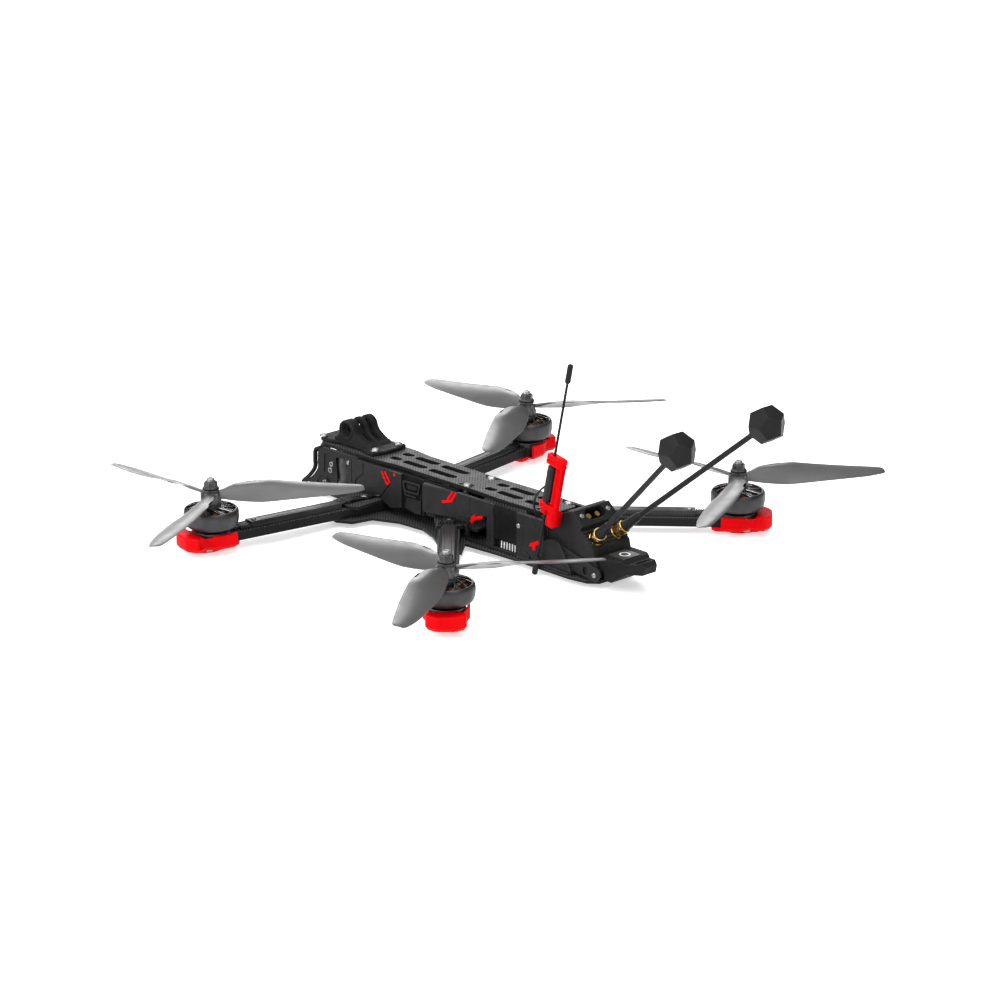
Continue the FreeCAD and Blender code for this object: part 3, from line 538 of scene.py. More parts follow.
IRON = ribbed("laminated_iron", (0.03, 0.03, 0.032), (0.1, 0.1, 0.102), (0.4, 0.6), 0.5, 0.03, Metallic=0.8)
MAGNET = metal("plated_magnet", (0.3, 0.3, 0.31), (0.45, 0.45, 0.46), (0.25, 0.4))
COPPER = metal("enamelled_copper", (0.05, 0.018, 0.008), (0.11, 0.042, 0.016), (0.3, 0.45))
BLADE = moulded("propeller_plastic", (0.05, 0.049, 0.049), (0.062, 0.061, 0.061), (0.3, 0.42), grain=0.8,
                depth=0.01, edge=(0.1, 0.1, 0.1), patch=22.0, Specular_IOR_Level=0.42)
JACKET = moulded("wire_jacket", (0.008, 0.008, 0.0085), (0.018, 0.018, 0.0185), (0.4, 0.6), grain=0.7,
                 Specular_IOR_Level=0.2)
WIRE_COVER = moulded("arm_cover_plastic", (0.018, 0.018, 0.0185), (0.028, 0.028, 0.0285), (0.3, 0.42),
                     edge=(0.08, 0.08, 0.082), patch=14.0, Specular_IOR_Level=0.09)
CAMERA = moulded("camera_shell", (0.15, 0.15, 0.153), (0.22, 0.22, 0.223), (0.36, 0.5), edge=(0.34, 0.34, 0.34))
ANTENNA = moulded("antenna_shell", (0.009, 0.009, 0.0095), (0.014, 0.014, 0.0145), (0.4, 0.55), grain=0.4,
                  edge=(0.06, 0.06, 0.062), Specular_IOR_Level=0.1)
SLEEVE = moulded("heat_shrink", (0.009, 0.009, 0.0095), (0.015, 0.0155, 0.015), (0.3, 0.5), grain=1.2,
                 depth=0.05, Specular_IOR_Level=0.2)
BOARD = circuit("circuit_board")
PUCK = moulded("puck_shell", (0.02, 0.02, 0.021), (0.03, 0.03, 0.031), (0.4, 0.55), edge=(0.1, 0.1, 0.1),
               Specular_IOR_Level=0.3)
MARK = moulded("pale_print", (0.62, 0.62, 0.62), (0.72, 0.72, 0.72), (0.5, 0.65))
HEAT_SINK = metal("pale_heat_sink", (0.5, 0.5, 0.52), (0.7, 0.7, 0.71), (0.3, 0.45))


def coated_glass():
    look = Look("coated_glass", Specular_IOR_Level=0.7, Coat_Weight=1.0)
    tint = look.mix(look.spread(look.noise(6.0), 0.0, 1.0), (0.004, 0.006, 0.012), (0.02, 0.01, 0.03))
    look.feed("Base Color", tint)
    look.feed("Roughness", look.spread(look.noise(3.0), 0.04, 0.08))
    return look.material


GLASS = coated_glass()


# ---------------------------------------------------------------- rotors
def aerofoil(chord, thick):
    """Closed section from trailing edge over the top to the leading edge and back below; chord along X."""
    steps = 11
    upper, lower = [], []
    for k in range(steps + 1):
        share = 0.5 - 0.5 * math.cos(math.pi * k / steps)
        body = 1.48 * math.sqrt(share) - 0.63 * share - 1.758 * share ** 2 + 1.421 * share ** 3 - 0.48 * share ** 4
        arch = 0.055 * chord * 4 * share * (1 - share)
        along = chord * (0.5 - share)
        half = max(body * thick, 0.12)
        upper.append((along, arch + half))
        lower.append((along, arch - half * 0.7))
    return upper[::-1] + lower


# radius, chord, thickness, sweep towards the leading edge
BLADE_STATIONS = [(4.8, 7.0, 2.6, 0.0), (9.0, 9.6, 2.5, 0.3), (15.0, 14.4, 2.2, 1.2), (24.0, 18.8, 1.9, 1.9),
                  (36.0, 20.4, 1.6, 1.6), (50.0, 19.2, 1.4, 0.9), (66.0, 16.6, 1.2, 0.0), (80.0, 13.6, 1.0, -0.7),
                  (89.0, 10.4, 0.9, -0.7), (93.2, 7.8, 0.8, -0.7), (94.6, 4.8, 0.6, -0.7)]
PITCH = 105.0            # the blades' advance in one turn
BLADE_HEIGHT = 32.4      # of the blades' line at the hub
BLADE_DROOP = 2.1        # of that line at the tip
BLADES = 3
SPOKES = 10
MAGNETS = 14
TEETH = 12


def blade_rings(spin):
    rings = []
    for radius, chord, thick, sweep in smooth(BLADE_STATIONS, 4):
        angle = math.atan2(PITCH, 2 * math.pi * max(radius, 30.0))
        height = BLADE_HEIGHT - BLADE_DROOP * radius / PROP_R
        ring = []
        for along, up in aerofoil(chord, thick):
            across = (along + sweep) * math.cos(angle) - up * math.sin(angle)
            rise = (along + sweep) * math.sin(angle) + up * math.cos(angle)
            ring.append((radius, spin * across, min(max(height + rise, PROP_LOW), PROP_HIGH)))
        rings.append(ring)
    return rings


def propeller(corner):
    spin = CORNERS[corner][2]
    shape = Shape()
    for k in range(BLADES):
        shape.place = turned(axis_of(corner), k, BLADES)
        shape.skin(blade_rings(spin))
    shape.place = axis_of(corner)
    hub = [(2.55, PROP_LOW), (6.0, PROP_LOW), (6.4, PROP_LOW + 0.4), (6.4, PROP_LOW + 3.0), (5.6, PROP_LOW + 4.4),
           (4.8, PROP_LOW + 4.9), (4.4, PROP_HIGH - 1.0), (4.9, PROP_HIGH - 0.8), (4.9, PROP_HIGH - 0.2),
           (4.6, PROP_HIGH), (2.55, PROP_HIGH)]
    shape.lathe(hub, 48)
    for k in range(BLADES):
        shape.place = turned(axis_of(corner), k + 0.5, BLADES)
        shape.box(4.0, 6.4, -0.7, 0.7, PROP_LOW + 0.4, PROP_HIGH - 1.8, 0.3)
    make_rotor("propeller_moulding", corner, shape, "prop_plastic", BLADE, bevel=0, rim=0, stands_for="propeller")


def propeller_nut(corner):
    """Flanged nut on its washer, with a lock ring in its top."""
    place = axis_of(corner)
    flange = [(2.6, PROP_HIGH + 0.7), (4.8, PROP_HIGH + 0.7), (4.8, PROP_HIGH + 1.2), (4.6, PROP_HIGH + 1.5),
              (3.9, PROP_HIGH + 1.8), (2.6, PROP_HIGH + 1.8)]
    washer = Shape(place).lathe([(2.6, PROP_HIGH), (5.1, PROP_HIGH), (5.2, PROP_HIGH + 0.35), (5.1, PROP_HIGH + 0.7),
                                 (2.6, PROP_HIGH + 0.7)], 40)
    make_rotor("nut_washer", corner, washer, "dark_alloy", DARK_PANEL, bevel=0)
    seat = NUT_TOP - 1.0
    body = Shape(place).lathe(flange, 48)
    body.skin([[(x, y, z) for x, y in circle(0, 0, 4.2 * share, 6)] for share, z in
               ((0.96, PROP_HIGH + 1.5), (1.0, PROP_HIGH + 1.9), (1.0, seat - 0.5), (0.94, seat))])
    body.cut(Shape(place).disc(0, 0, 2.58, PROP_HIGH - 1, NUT_TOP + 1))
    ring = Shape(place).lathe([(2.6, seat - 0.6), (3.5, seat - 0.6), (3.4, seat + 0.3), (3.0, seat + 0.7),
                               (2.6, seat + 0.7)], 40)
    make_rotor("nut", corner, body, "dark_alloy", ALLOY, bevel=0.3, stands_for="prop_nut")
    make_rotor("nut_lock_ring", corner, ring, "dark_alloy", ALLOY, bevel=0.1)


def threaded_shaft(corner):
    """Steel shaft with its thread showing above the nut, and a six-sided socket in its end."""
    top = high("motor_shaft_" + corner).z
    foot = low("motor_shaft_" + corner).z
    profile = [(0.0, foot), (1.7, foot), (2.0, foot + 0.3), (2.0, PROP_LOW)]
    z = PROP_LOW
    while z < top - 1.0:
        profile += [(2.5, z + 0.2), (2.5, z + 0.35), (2.2, z + 0.6)]
        z += 0.8
    profile += [(2.4, top - 0.7), (1.9, top), (0.0, top)]
    shape = Shape(axis_of(corner)).lathe(profile, 40)
    shape.cut(Shape(axis_of(corner)).prism(circle(0, 0, 1.15, 6), top - 1.5, top + 1))
    make_rotor("shaft", corner, shape, "steel", STEEL, bevel=0, stands_for="motor_shaft")


def bell(corner):
    """Barrel with a rounded shoulder and foot, swept spokes over open windows, hub and magnets."""
    place = axis_of(corner)
    z0, z1 = BELL_LOW, BELL_TOP - 1.0
    r = BELL_R
    barrel = smooth([(r - 3.5, z0), (r - 2.5, z0 + 0.2), (r - 1.3, z0 + 1.2), (r - 0.6, z0 + 2.6),
                     (r - 0.15, z0 + 4.8), (r, z0 + 7.4), (r - 0.15, z0 + 9.4), (r - 0.7, z0 + 10.8),
                     (r - 1.5, z0 + 11.4)], 3)
    barrel += [(r - 2.2, z0 + 11.2), (r - 2.2, z0 + 10.4), (r - 1.1, z0 + 9.6), (r - 1.3, z0 + 5.0),
               (r - 2.1, z0 + 2.7), (r - 2.9, z0 + 1.2), (r - 3.5, z0 + 0.8)]
    shell = Shape(place).lathe(barrel, 72)
    shell.lathe([(2.05, z1 - 3.4), (6.2, z1 - 3.4), (6.6, z1 - 2.6), (6.4, z1 - 0.4), (5.6, z1 + 0.4),
                 (5.4, PROP_LOW), (2.55, PROP_LOW), (2.05, PROP_LOW - 0.6)], 48)
    make_rotor("bell", corner, shell, "dark_alloy", ALLOY, bevel=0.16, stands_for="rotor_bell")
    spin = CORNERS[corner][2]
    spokes = Shape(place)
    for k in range(SPOKES):
        rings = []
        for step in range(7):
            share = step / 6
            radius = 5.6 + (r - 1.3 - 5.6) * share
            turn = 2 * math.pi * k / SPOKES + spin * 0.5 * share
            half = 0.55 + 0.35 * share ** 2
            side = Vector((-math.sin(turn), math.cos(turn), 0))
            way = Vector((math.cos(turn), math.sin(turn), 0)) * radius
            height = z1 - 1.0 - 2.5 * share ** 1.5
            tilt = spin * 0.5
            rings.append([tuple(way + side * a + Vector((0, 0, height + b + tilt * a)))
                          for a, b in ((-half, -0.9), (half, -0.9), (half, 0.25), (-half, 0.25))])
        spokes.skin(rings)
    make_rotor("bell_spokes", corner, spokes, "dark_alloy", ALLOY, RIM, bevel=0.17, rim=1)
    magnets = Shape()
    for k in range(MAGNETS):
        magnets.place = turned(place, k, MAGNETS)
        arc = [(radius * math.cos(t), radius * math.sin(t)) for radius, turns in
               ((r - 1.15, (-0.19, -0.1, 0.0, 0.1, 0.19)), (r - 2.3, (0.19, 0.1, 0.0, -0.1, -0.19))) for t in turns]
        magnets.prism(arc, z0 + 3.6, z0 + 10.0)
    make_rotor("magnets", corner, magnets, "steel", MAGNET, bevel=0.12)


# ---------------------------------------------------------------- motors and arms
def coils():
    """Turns of enamelled wire round each tooth."""
    shape = Shape()
    z0, z1 = low("windings").z, high("windings").z
    for corner in CORNERS:
        for k in range(TEETH):
            shape.place = turned(axis_of(corner), k, TEETH)
            for turn in range(5):
                out = 9.1 + 0.84 * turn
                loop = [(out, y, z) for y, z in inset([(-2.1, z0), (2.1, z0), (2.1, z1), (-2.1, z1)], 0.45)]
                corners = []
                for a, b in zip(loop, loop[1:] + loop[:1]):
                    for share in (0.1, 0.9):
                        corners.append(tuple(p + (q - p) * share for p, q in zip(a, b)))
                shape.tube(corners, 0.45, 6, closed=True)
    make("coil_turns", shape, "copper", COPPER, bevel=0, stands_for=["windings"])


COVER_END = -26.0         # the wire covers' motor ends


def arm_covers():
    """Channel over the wires on each arm: sloping flanks, raised spine, step at the motor end, screw."""
    for corner, (front, _, _) in CORNERS.items():
        start = COVER_GAP[front] - ARM_LENGTH[front]
        end = COVER_END
        half = 5.0
        rise = COVER_TOP - ARM_TOP
        section = [(-half, 0.0), (-half, rise * 0.5), (-half + 1.3, rise), (half - 1.3, rise),
                   (half, rise * 0.5), (half, 0.0)]
        place = corner_place(corner)
        shape = Shape(place).skin([[(x, y, ARM_TOP + z) for y, z in section] for x in (start, end)])
        shape.cut(Shape(place).box(start - 1, end - 6.0, -half + 1.2, half - 1.2, ARM_TOP - 1, COVER_TOP - 1.0))
        shape.cut(Shape(place).box(end - 7.0, end + 1, -half + 1.6, half - 1.6, ARM_TOP - 1, COVER_TOP - 1.6))
        groove = Shape(place).box(start + 6, end - 7, -2.6, -2.0, COVER_TOP - 0.35, COVER_TOP + 1)
        groove.box(start + 6, end - 7, 2.0, 2.6, COVER_TOP - 0.35, COVER_TOP + 1)
        shape.cut(groove)
        make("arm_cover_" + corner, shape, "panel_plastic", WIRE_COVER, bevel=0.45, segments=3,
             stands_for=["arm_covers"] if corner == "front_left" else ())
        cap_screw("cover_screw_" + corner, place @ Matrix.Translation((end - 3.4, 0, COVER_TOP - 0.35)), 1.75)
        pads = Shape(place).box(end + 0.3, end + 8.0, -4.4, 4.4, ARM_TOP, ARM_TOP + 2.3, 0.3)
        for step in range(5):
            pads.cut(Shape(place).box(end + 1.3 + 1.4 * step, end + 1.9 + 1.4 * step, -6, 6, ARM_TOP + 1.7, 14))
        make("wire_clamp_" + corner, pads, "wire_jacket", JACKET, bevel=0.12)


def motor_leads():
    """Three jacketed wires along each arm, rising into the motor."""
    for corner, (front, _, _) in CORNERS.items():
        start = COVER_GAP[front] - ARM_LENGTH[front]
        reach = 26.0 if front > 0 else 12.0
        shape = Shape(corner_place(corner))
        level = ARM_TOP + 1.1
        for k in (-1, 0, 1):
            y = 2.1 * k
            path = [(start - reach, y * 0.9, level + 2.0), (start - 5, y, level + 2.2), (start - 2, y, level + 1.2),
                    (start + 2, y, level), (-20, y, level), (-16, y, level),
                    (-13.2, y * 0.96, level + 0.2), (-11.4, y * 0.93, level + 1.2), (-9.8, y * 0.9, level + 2.6)]
            shape.tube(path, 0.9, 12)
        shape.box(start - 10.5, start - 4.5, -3.7, 3.7, level + 0.9, level + 3.5, 0.4)
        make("motor_leads_" + corner, shape, "wire_jacket", JACKET, bevel=0,
             stands_for=["motor_wires"] if corner == "front_left" else ())


WALL_TOP = 10.2           # the guard's rim
ROOM_R = 12.1             # the guard's hollow round the arm's end
BOLT_R = 8.0              # the circle of the motor's bolts


def skid(corner):
    """Red guard: faceted wall round the arm's end, dipped rim, sole with a rounded foot."""
    place = corner_place(corner)
    z0 = SKID_LOW
    outline = both_sides([(21.5, 4.6), (20.8, 7.0), (17.0, 11.6), (15.6, 12.0), (9.0, 9.6), (2.4, 13.5), (0.6, 13.7),
                          (-10.4, 13.7)])
    low_rim = inset(outline, 1.5)
    shape = Shape(place).skin([[(x, y, 1.0) for x, y in low_rim], [(x, y, 3.0) for x, y in outline],
                               [(x, y, WALL_TOP - 0.5) for x, y in outline],
                               [(x, y, WALL_TOP) for x, y in inset(outline, 0.5)]])
    shape.cut(Shape(place).disc(0, 0, ROOM_R, ARM_LOW, 20, 48))
    shape.cut(Shape(place).box(-20, 0, -ROOM_R, ROOM_R, ARM_LOW, 20))
    dip = Shape(place @ Matrix.Rotation(math.pi / 2, 4, "X"))
    dip.prism([(13.4, 12.0), (11.4, WALL_TOP - 1.0), (8.8, WALL_TOP - 1.7), (5.6, WALL_TOP - 1.1), (2.6, 12.0)],
              -20, 20)
    shape.cut(dip)
    sole = Shape(place)
    profile = [(16.0, 5.0), (13.0, 7.5), (-14.5, 7.5), (-16.0, 6.0)]
    sole.skin([[(x * s, y * s, z) for x, y in both_sides(profile)]
               for s, z in ((0.9, -0.8), (1.0, 0.2), (1.0, 1.9))])
    shape.join(sole)
    levels = ((0.45, z0), (0.62, z0 + 0.3), (0.86, z0 + 1.2), (1.0, z0 + 2.4), (1.0, 0.4))
    foot = Shape(place).skin([[(1.5 + (12.5 * s) * math.cos(t), 7.0 * s * math.sin(t), z)
                               for t in [2 * math.pi * n / 28 for n in range(28)]] for s, z in levels])
    shape.join(foot)
    holes = Shape(place)
    for k in range(4):
        t = math.pi / 4 + math.pi / 2 * k
        x, y = BOLT_R * math.cos(t), BOLT_R * math.sin(t)
        holes.disc(x, y, 2.95, z0 - 1, 1.05)
        holes.disc(x, y, 1.6, 0.5, 3.0)
    shape.cut(holes)
    make("skid_" + corner, shape, "red_guard", RED, bevel=0.35, stands_for=["motor_skid_" + corner])


# ---------------------------------------------------------------- screws
HEAD_STEPS = 30


def hex_loop(radius):
    """Points round a hexagon, to meet a round loop of the same count."""
    loop = []
    for k in range(HEAD_STEPS):
        turn = 2 * math.pi * k / HEAD_STEPS
        reach = radius * math.cos(math.pi / 6) / math.cos(turn % (math.pi / 3) - math.pi / 6)
        loop.append((reach * math.cos(turn), reach * math.sin(turn)))
    return loop


def button_head(shape, radius=2.8, height=1.6):
    """Button head with a six-sided socket, seated at the shape's place."""
    levels = ((1.0, 0.0), (1.0, 0.25), (0.88, 0.66), (0.6, 1.0))
    rings = [[(x, y, z * height) for x, y in circle(0, 0, radius * share, HEAD_STEPS)] for share, z in levels]
    rings += [[(x, y, z * height) for x, y in hex_loop(radius * 0.42)] for z in (1.0, 0.35)]
    return shape.skin(rings)


def cap_screw(name, place, radius, height=1.5, material=STEEL):
    make(name, button_head(Shape(place), radius, height), "steel", material, bevel=0)


# where the posts stand under the top plate, and those that carry the camera mount
STANDOFFS = ((3.0, 10.5), (-64.0, 10.5))
MOUNT_POSTS = ((87.1, 9.8), (133.0, 12.0))
ARM_SCREWS = (6.0, 16.0)          # from an arm's inner end
UPSIDE_DOWN = Matrix.Rotation(math.pi, 4, "X")


def frame_screws():
    """Button heads on top, heads under the bottom plate, and locking nuts over the arm roots."""
    shape = Shape()
    for spots, seat in ((STANDOFFS, TOP_TOP - HEAD_RECESS), (MOUNT_POSTS, MOUNT_SEAT)):
        for x, y in spots:
            for _, sign in SIDES:
                shape.place = Matrix.Translation((x, y * sign, seat))
                button_head(shape)
                shape.disc(0, 0, 1.5, -8.0, 0.1)
    under = [(x, y * sign) for x, y in (MOUNT_POSTS[1], STANDOFFS[1]) for _, sign in SIDES]
    for corner, (front, _, _) in CORNERS.items():
        for back in ARM_SCREWS:
            spot = corner_place(corner) @ Vector((back - ARM_LENGTH[front], 0.0, 0.0))
            under.append((spot.x, spot.y))
            shape.place = Matrix.Translation((spot.x, spot.y, high("middle_plate").z))
            shape.prism(circle(0, 0, 3.1, 6), 0.0, 1.6, 0.3)
            shape.disc(0, 0, 2.5, 1.5, 2.4, 28, 0.3)
            shape.disc(0, 0, 1.45, -9.0, 2.8, 20, 0.2)
    for x, y in under:
        shape.place = Matrix.Translation((x, y, low("bottom_plate").z)) @ UPSIDE_DOWN
        button_head(shape, 2.7, 1.5)
    make("frame_screw_set", shape, "steel", STEEL, bevel=0, stands_for=["frame_screws"])


def pair(name, build, slot, *materials, stands_for="", **options):
    """The same piece on the drone's left and right; build gives the left one."""
    for side, sign in SIDES:
        shape = build()
        if sign < 0:
            shape.moved(MIRROR)
        make(name + "_" + side, shape, slot, *materials,
             stands_for=[stands_for + side] if stands_for else (), **options)


# ---------------------------------------------------------------- top plate
TOP_HALF = [(135.0, 10.0), (131.0, 15.0), (78.0, 15.6), (62.0, 13.6), (-6.0, 13.4), (-30.0, 14.6),
            (-64.0, 13.6), (-72.0, 8.0)]


def slash(x, y, length, width):
    """Slot that is blunt towards the nose and runs out to a point towards the tail."""
    front, back, half = x + length / 2, x - length / 2, width / 2
    return [(front, y - half * 0.5), (front, y + half * 0.5), (front - 1.4, y + half), (back + 3.4, y + half),
            (back + 0.4, y + half * 0.4), (back, y - half * 0.4), (back + 1.4, y - half), (front - 1.4, y - half)]


def top_plate():
    sheet = Shape().prism(both_sides(TOP_HALF), TOP_UNDER, TOP_TOP)
    holes = Shape()
    for _, sign in SIDES:
        for x, length in ((55.0, 20.0), (30.0, 23.0), (-29.5, 20.0), (-50.0, 13.0)):
            holes.prism(slash(x, 5.3 * sign, length, 5.2), TOP_UNDER - 1, TOP_TOP + 1)
        for x in (72.5, -12.8):
            holes.prism(slash(x, 5.3 * sign, 8.6, 5.0), TOP_UNDER - 1, TOP_TOP + 1)
        for x, y in STANDOFFS:
            y *= sign
            holes.prism([(x + 6.4, y + sign * 1.4), (x + 2.4, y + sign * 2.2), (x - 7.6, y + sign * 1.8),
                         (x - 3.2, y - sign * 3.1), (x + 2.8, y - sign * 3.0)], TOP_TOP - HEAD_RECESS, TOP_TOP + 1)
    sheet.cut(holes)
    make("top_sheet", sheet, "carbon", CARBON, bevel=0.3, stands_for=["top_plate"])

    def shoulder():
        """Sloping strip below the plate's rear edge."""
        lower = [(-14.0, 15.2, 27.6), (-56.0, 16.6, 26.6)]
        upper = [(-16.0, 13.4, TOP_UNDER), (-52.0, 14.0, TOP_UNDER)]
        return Shape().skin([[(x1, y1, z1), (x0, y0, z0), (x0, y0 - 1.4, z0), (x1, y1 - 1.6, z1)]
                             for (x0, y0, z0), (x1, y1, z1) in zip(lower, upper)])

    pair("top_shoulder", shoulder, "carbon", CARBON, bevel=0.2)


# ---------------------------------------------------------------- side panels
PANEL_TOP_Z = TOP_UNDER - 0.3


def front_cover():
    outline = [(101.0, PANEL_TOP_Z), (53.0, PANEL_TOP_Z), (53.0, 9.0), (62.5, 6.5), (71.6, 10.9), (73.4, 12.6),
               (86.2, 10.7), (95.8, 12.8), (103.0, 15.8)]
    shape = Shape().side(outline, 17.2, 19.4)
    grooves = Shape()
    grooves.side(band([(69.0, 32.0), (63.0, 22.4), (72.2, 11.0)], 1.3), 18.5, 20.0)
    grooves.side(band([(87.8, 32.0), (87.9, 22.6), (94.6, 17.7), (95.8, 11.0)], 0.9), 18.6, 20.0)
    grooves.side(band([(99.0, 31.6), (98.6, 14.0)], 0.6), 18.9, 20.0)
    return shape.cut(grooves)


def recess():
    """Sunk field between the front cover and the shoulder, in the darker moulding as painted shade."""
    return Shape().side([(53.4, PANEL_TOP_Z), (34.0, PANEL_TOP_Z), (34.0, 7.6), (44.0, 6.8), (53.4, 9.0)], 16.4, 17.4)


def latch():
    """Framed latch on the sunk field, with a bar and a wedge below it."""
    rim = [(52.0, 26.4), (37.0, 26.9), (38.6, 20.6), (50.4, 20.4)]
    shape = Shape()
    for a, b in zip(rim, rim[1:] + rim[:1]):
        shape.side(band([a, b], 1.3), 17.3, 18.9, 0.25)
    shape.side([(49.6, 24.7), (40.2, 25.1), (41.0, 22.2), (48.8, 22.0)], 17.3, 18.2, 0.4)
    shape.side(band([(52.0, 24.0), (50.2, 18.2), (40.5, 18.0)], 1.2), 17.3, 18.7, 0.2)
    shape.side([(49.0, 16.4), (36.5, 16.8), (36.5, 8.0), (41.0, 7.5), (51.0, 9.4)], 17.3, 18.6, 0.5)
    return shape


def shoulder():
    """Bulge over the rear arm's root; its main face turns inward towards the tail."""
    widths = ((12.4, 0.90), (13.6, 1.0), (29.0, 1.0), (30.2, 0.86))
    base = [(33.5, 16.8), (32.2, 20.6), (30.0, 22.4), (3.6, 18.4), (3.4, 16.8)]
    return Shape().skin([[(x, 16.8 + (y - 16.8) * share, z) for x, y in base] for z, share in widths])


def mid_panel():
    """Window panel behind the shoulder, with its rib."""
    outline = [(3.2, PANEL_TOP_Z), (-29.6, PANEL_TOP_Z), (-29.6, 2.2), (-4.2, 2.2), (-4.6, 12.4), (-6.4, 13.6),
               (3.2, 13.4)]
    shape = Shape().side(outline, 17.0, 19.2)
    holes = Shape().side([(-6.2, 3.4), (-6.2, 12.2), (-9.2, 16.0), (-19.0, 20.3), (-23.5, 22.0), (-23.5, 3.4)],
                         16.0, 20.0)
    holes.side(band([(-8.3, 32.0), (-8.3, 16.9)], 0.5), 18.7, 20.0)
    holes.side(band([(3.6, 13.0), (-3.9, 17.6), (-8.3, 18.6)], 0.5), 18.8, 20.0)
    shape.cut(holes)
    return shape.side([(-23.9, 29.0), (-29.4, 29.6), (-29.4, 2.8), (-23.9, 2.8)], 19.0, 20.2, 0.5)


def vent_field():
    """Curved field over the heat sink, in the darker moulding as painted shade."""
    rings = []
    for step in range(9):
        share = step / 8
        x = -29.4 - 20.8 * share
        dip = 1.5 * math.sin(math.pi * share)
        rings.append([(x, 17.2, 9.4), (x, 18.9 - dip, 9.4), (x, 18.9 - dip, 24.0), (x, 19.4 - dip * 0.5, 26.4),
                      (x, 18.6, PANEL_TOP_Z), (x, 17.2, PANEL_TOP_Z)])
    return Shape().skin(rings).box(-50.0, -29.4, 15.8, 16.8, 3.8, 9.6, 0.2)


def tail_panel():
    shape = Shape().side([(-29.4, 2.2), (-50.2, 2.2), (-50.2, 4.0), (-29.4, 4.0)], 17.0, 19.2, 0.3)
    tail = Shape().side([(-49.9, PANEL_TOP_Z), (-72.5, PANEL_TOP_Z), (-72.5, 2.2), (-49.9, 2.2)], 17.0, 19.8)
    grooves = Shape().side(band([(-57.2, 8.6), (-61.8, 5.9), (-57.0, -1.0)], 0.8), 19.0, 21.0)
    grooves.side(band([(-50.0, 26.0), (-55.0, 20.0), (-55.6, 12.0), (-50.0, 9.0)], 0.6), 19.2, 21.0)
    grooves.side(band([(-72.6, 21.0), (-66.0, 24.6), (-62.0, 32.0)], 0.6), 19.2, 21.0)
    tail.cut(grooves)
    shape.side([(-50.2, 3.0), (-52.0, 2.4), (-94.0, 2.4), (-94.0, 3.6), (-52.0, 4.4)], 19.2, 20.6, 0.3)
    return shape.merge(tail)


def heat_bars():
    """Pale fins that show in the lower rear vent."""
    shape = Shape()
    for k in range(7):
        x = -35.2 - 2.35 * k
        shape.box(x - 0.5, x + 0.5, 16.8, 18.4, 4.2, 9.0, 0.2)
    return shape


def panel_accents():
    """Red pieces let into the outside of the panels."""
    shape = Shape()
    shape.side(band([(70.5, 28.8), (65.2, 21.0)], 1.1), 19.0, 20.0, 0.2)
    shape.side(band([(67.6, 29.3), (63.4, 23.6)], 1.1), 19.0, 20.0, 0.2)
    shape.side(band([(65.6, 21.2), (63.0, 23.8)], 1.3), 19.0, 19.9, 0.2)
    shape.place = side_place(58.9, 19.2, 29.0)
    shape.disc(0, 0, 0.9, 0.0, 0.6, 20, 0.15)
    lean = math.atan2(22.4 - 18.4, 30.0 - 3.6)
    shape.place = Matrix.Translation((3.6, 18.4, 0)) @ Matrix.Rotation(lean, 4, "Z")
    shape.side(band([(3.4, 29.6), (7.2, 24.3)], 1.5), -1.6, 0.6, 0.25)
    shape.side(band([(0.6, 29.6), (4.2, 24.0), (11.4, 22.3)], 1.6), -1.6, 0.6, 0.25)
    shape.place = Matrix()
    shape.side(band([(-9.9, 15.0), (-13.2, 18.0), (-19.8, 20.3)], 2.0), 18.8, 20.2, 0.3)
    shape.side(band([(-10.4, 17.6), (-13.4, 19.9)], 1.2), 18.8, 20.0, 0.25)
    shape.side([(-60.9, 12.4), (-62.6, 14.8), (-68.4, 17.6), (-69.8, 16.2), (-66.8, 13.6), (-66.2, 10.8),
                (-64.4, 10.6), (-63.8, 12.8)], 19.4, 20.5, 0.25)
    return shape


def gap_shade_strip():
    """Dark strip that fills the gap between the top plate and the panels with painted shade."""
    return Shape().box(6.4, 96.0, 13.2, 16.8, 25.0, PANEL_TOP_Z, 0.3)


PIN_PITCH = 2.05


def motor_plug():
    """Four-pin connector under the shoulder, with its wires."""
    shape = Shape().box(6.2, 15.0, 17.4, 20.4, 6.8, 11.0, 0.3)
    for k in range(4):
        shape.box(7.0 + PIN_PITCH * k, 8.2 + PIN_PITCH * k, 17.8, 20.0, 10.6, 12.6, 0.2)
    for k in range(4):
        x = 7.6 + PIN_PITCH * k
        shape.tube([(x, 19.4, 7.6), (x, 20.6, 5.0), (x - 0.4, 22.4, 9.2), (x - 2.0, 25.0, 11.0),
                    (x - 4.4, 27.6, 11.4)], 0.55, 8)
    return shape


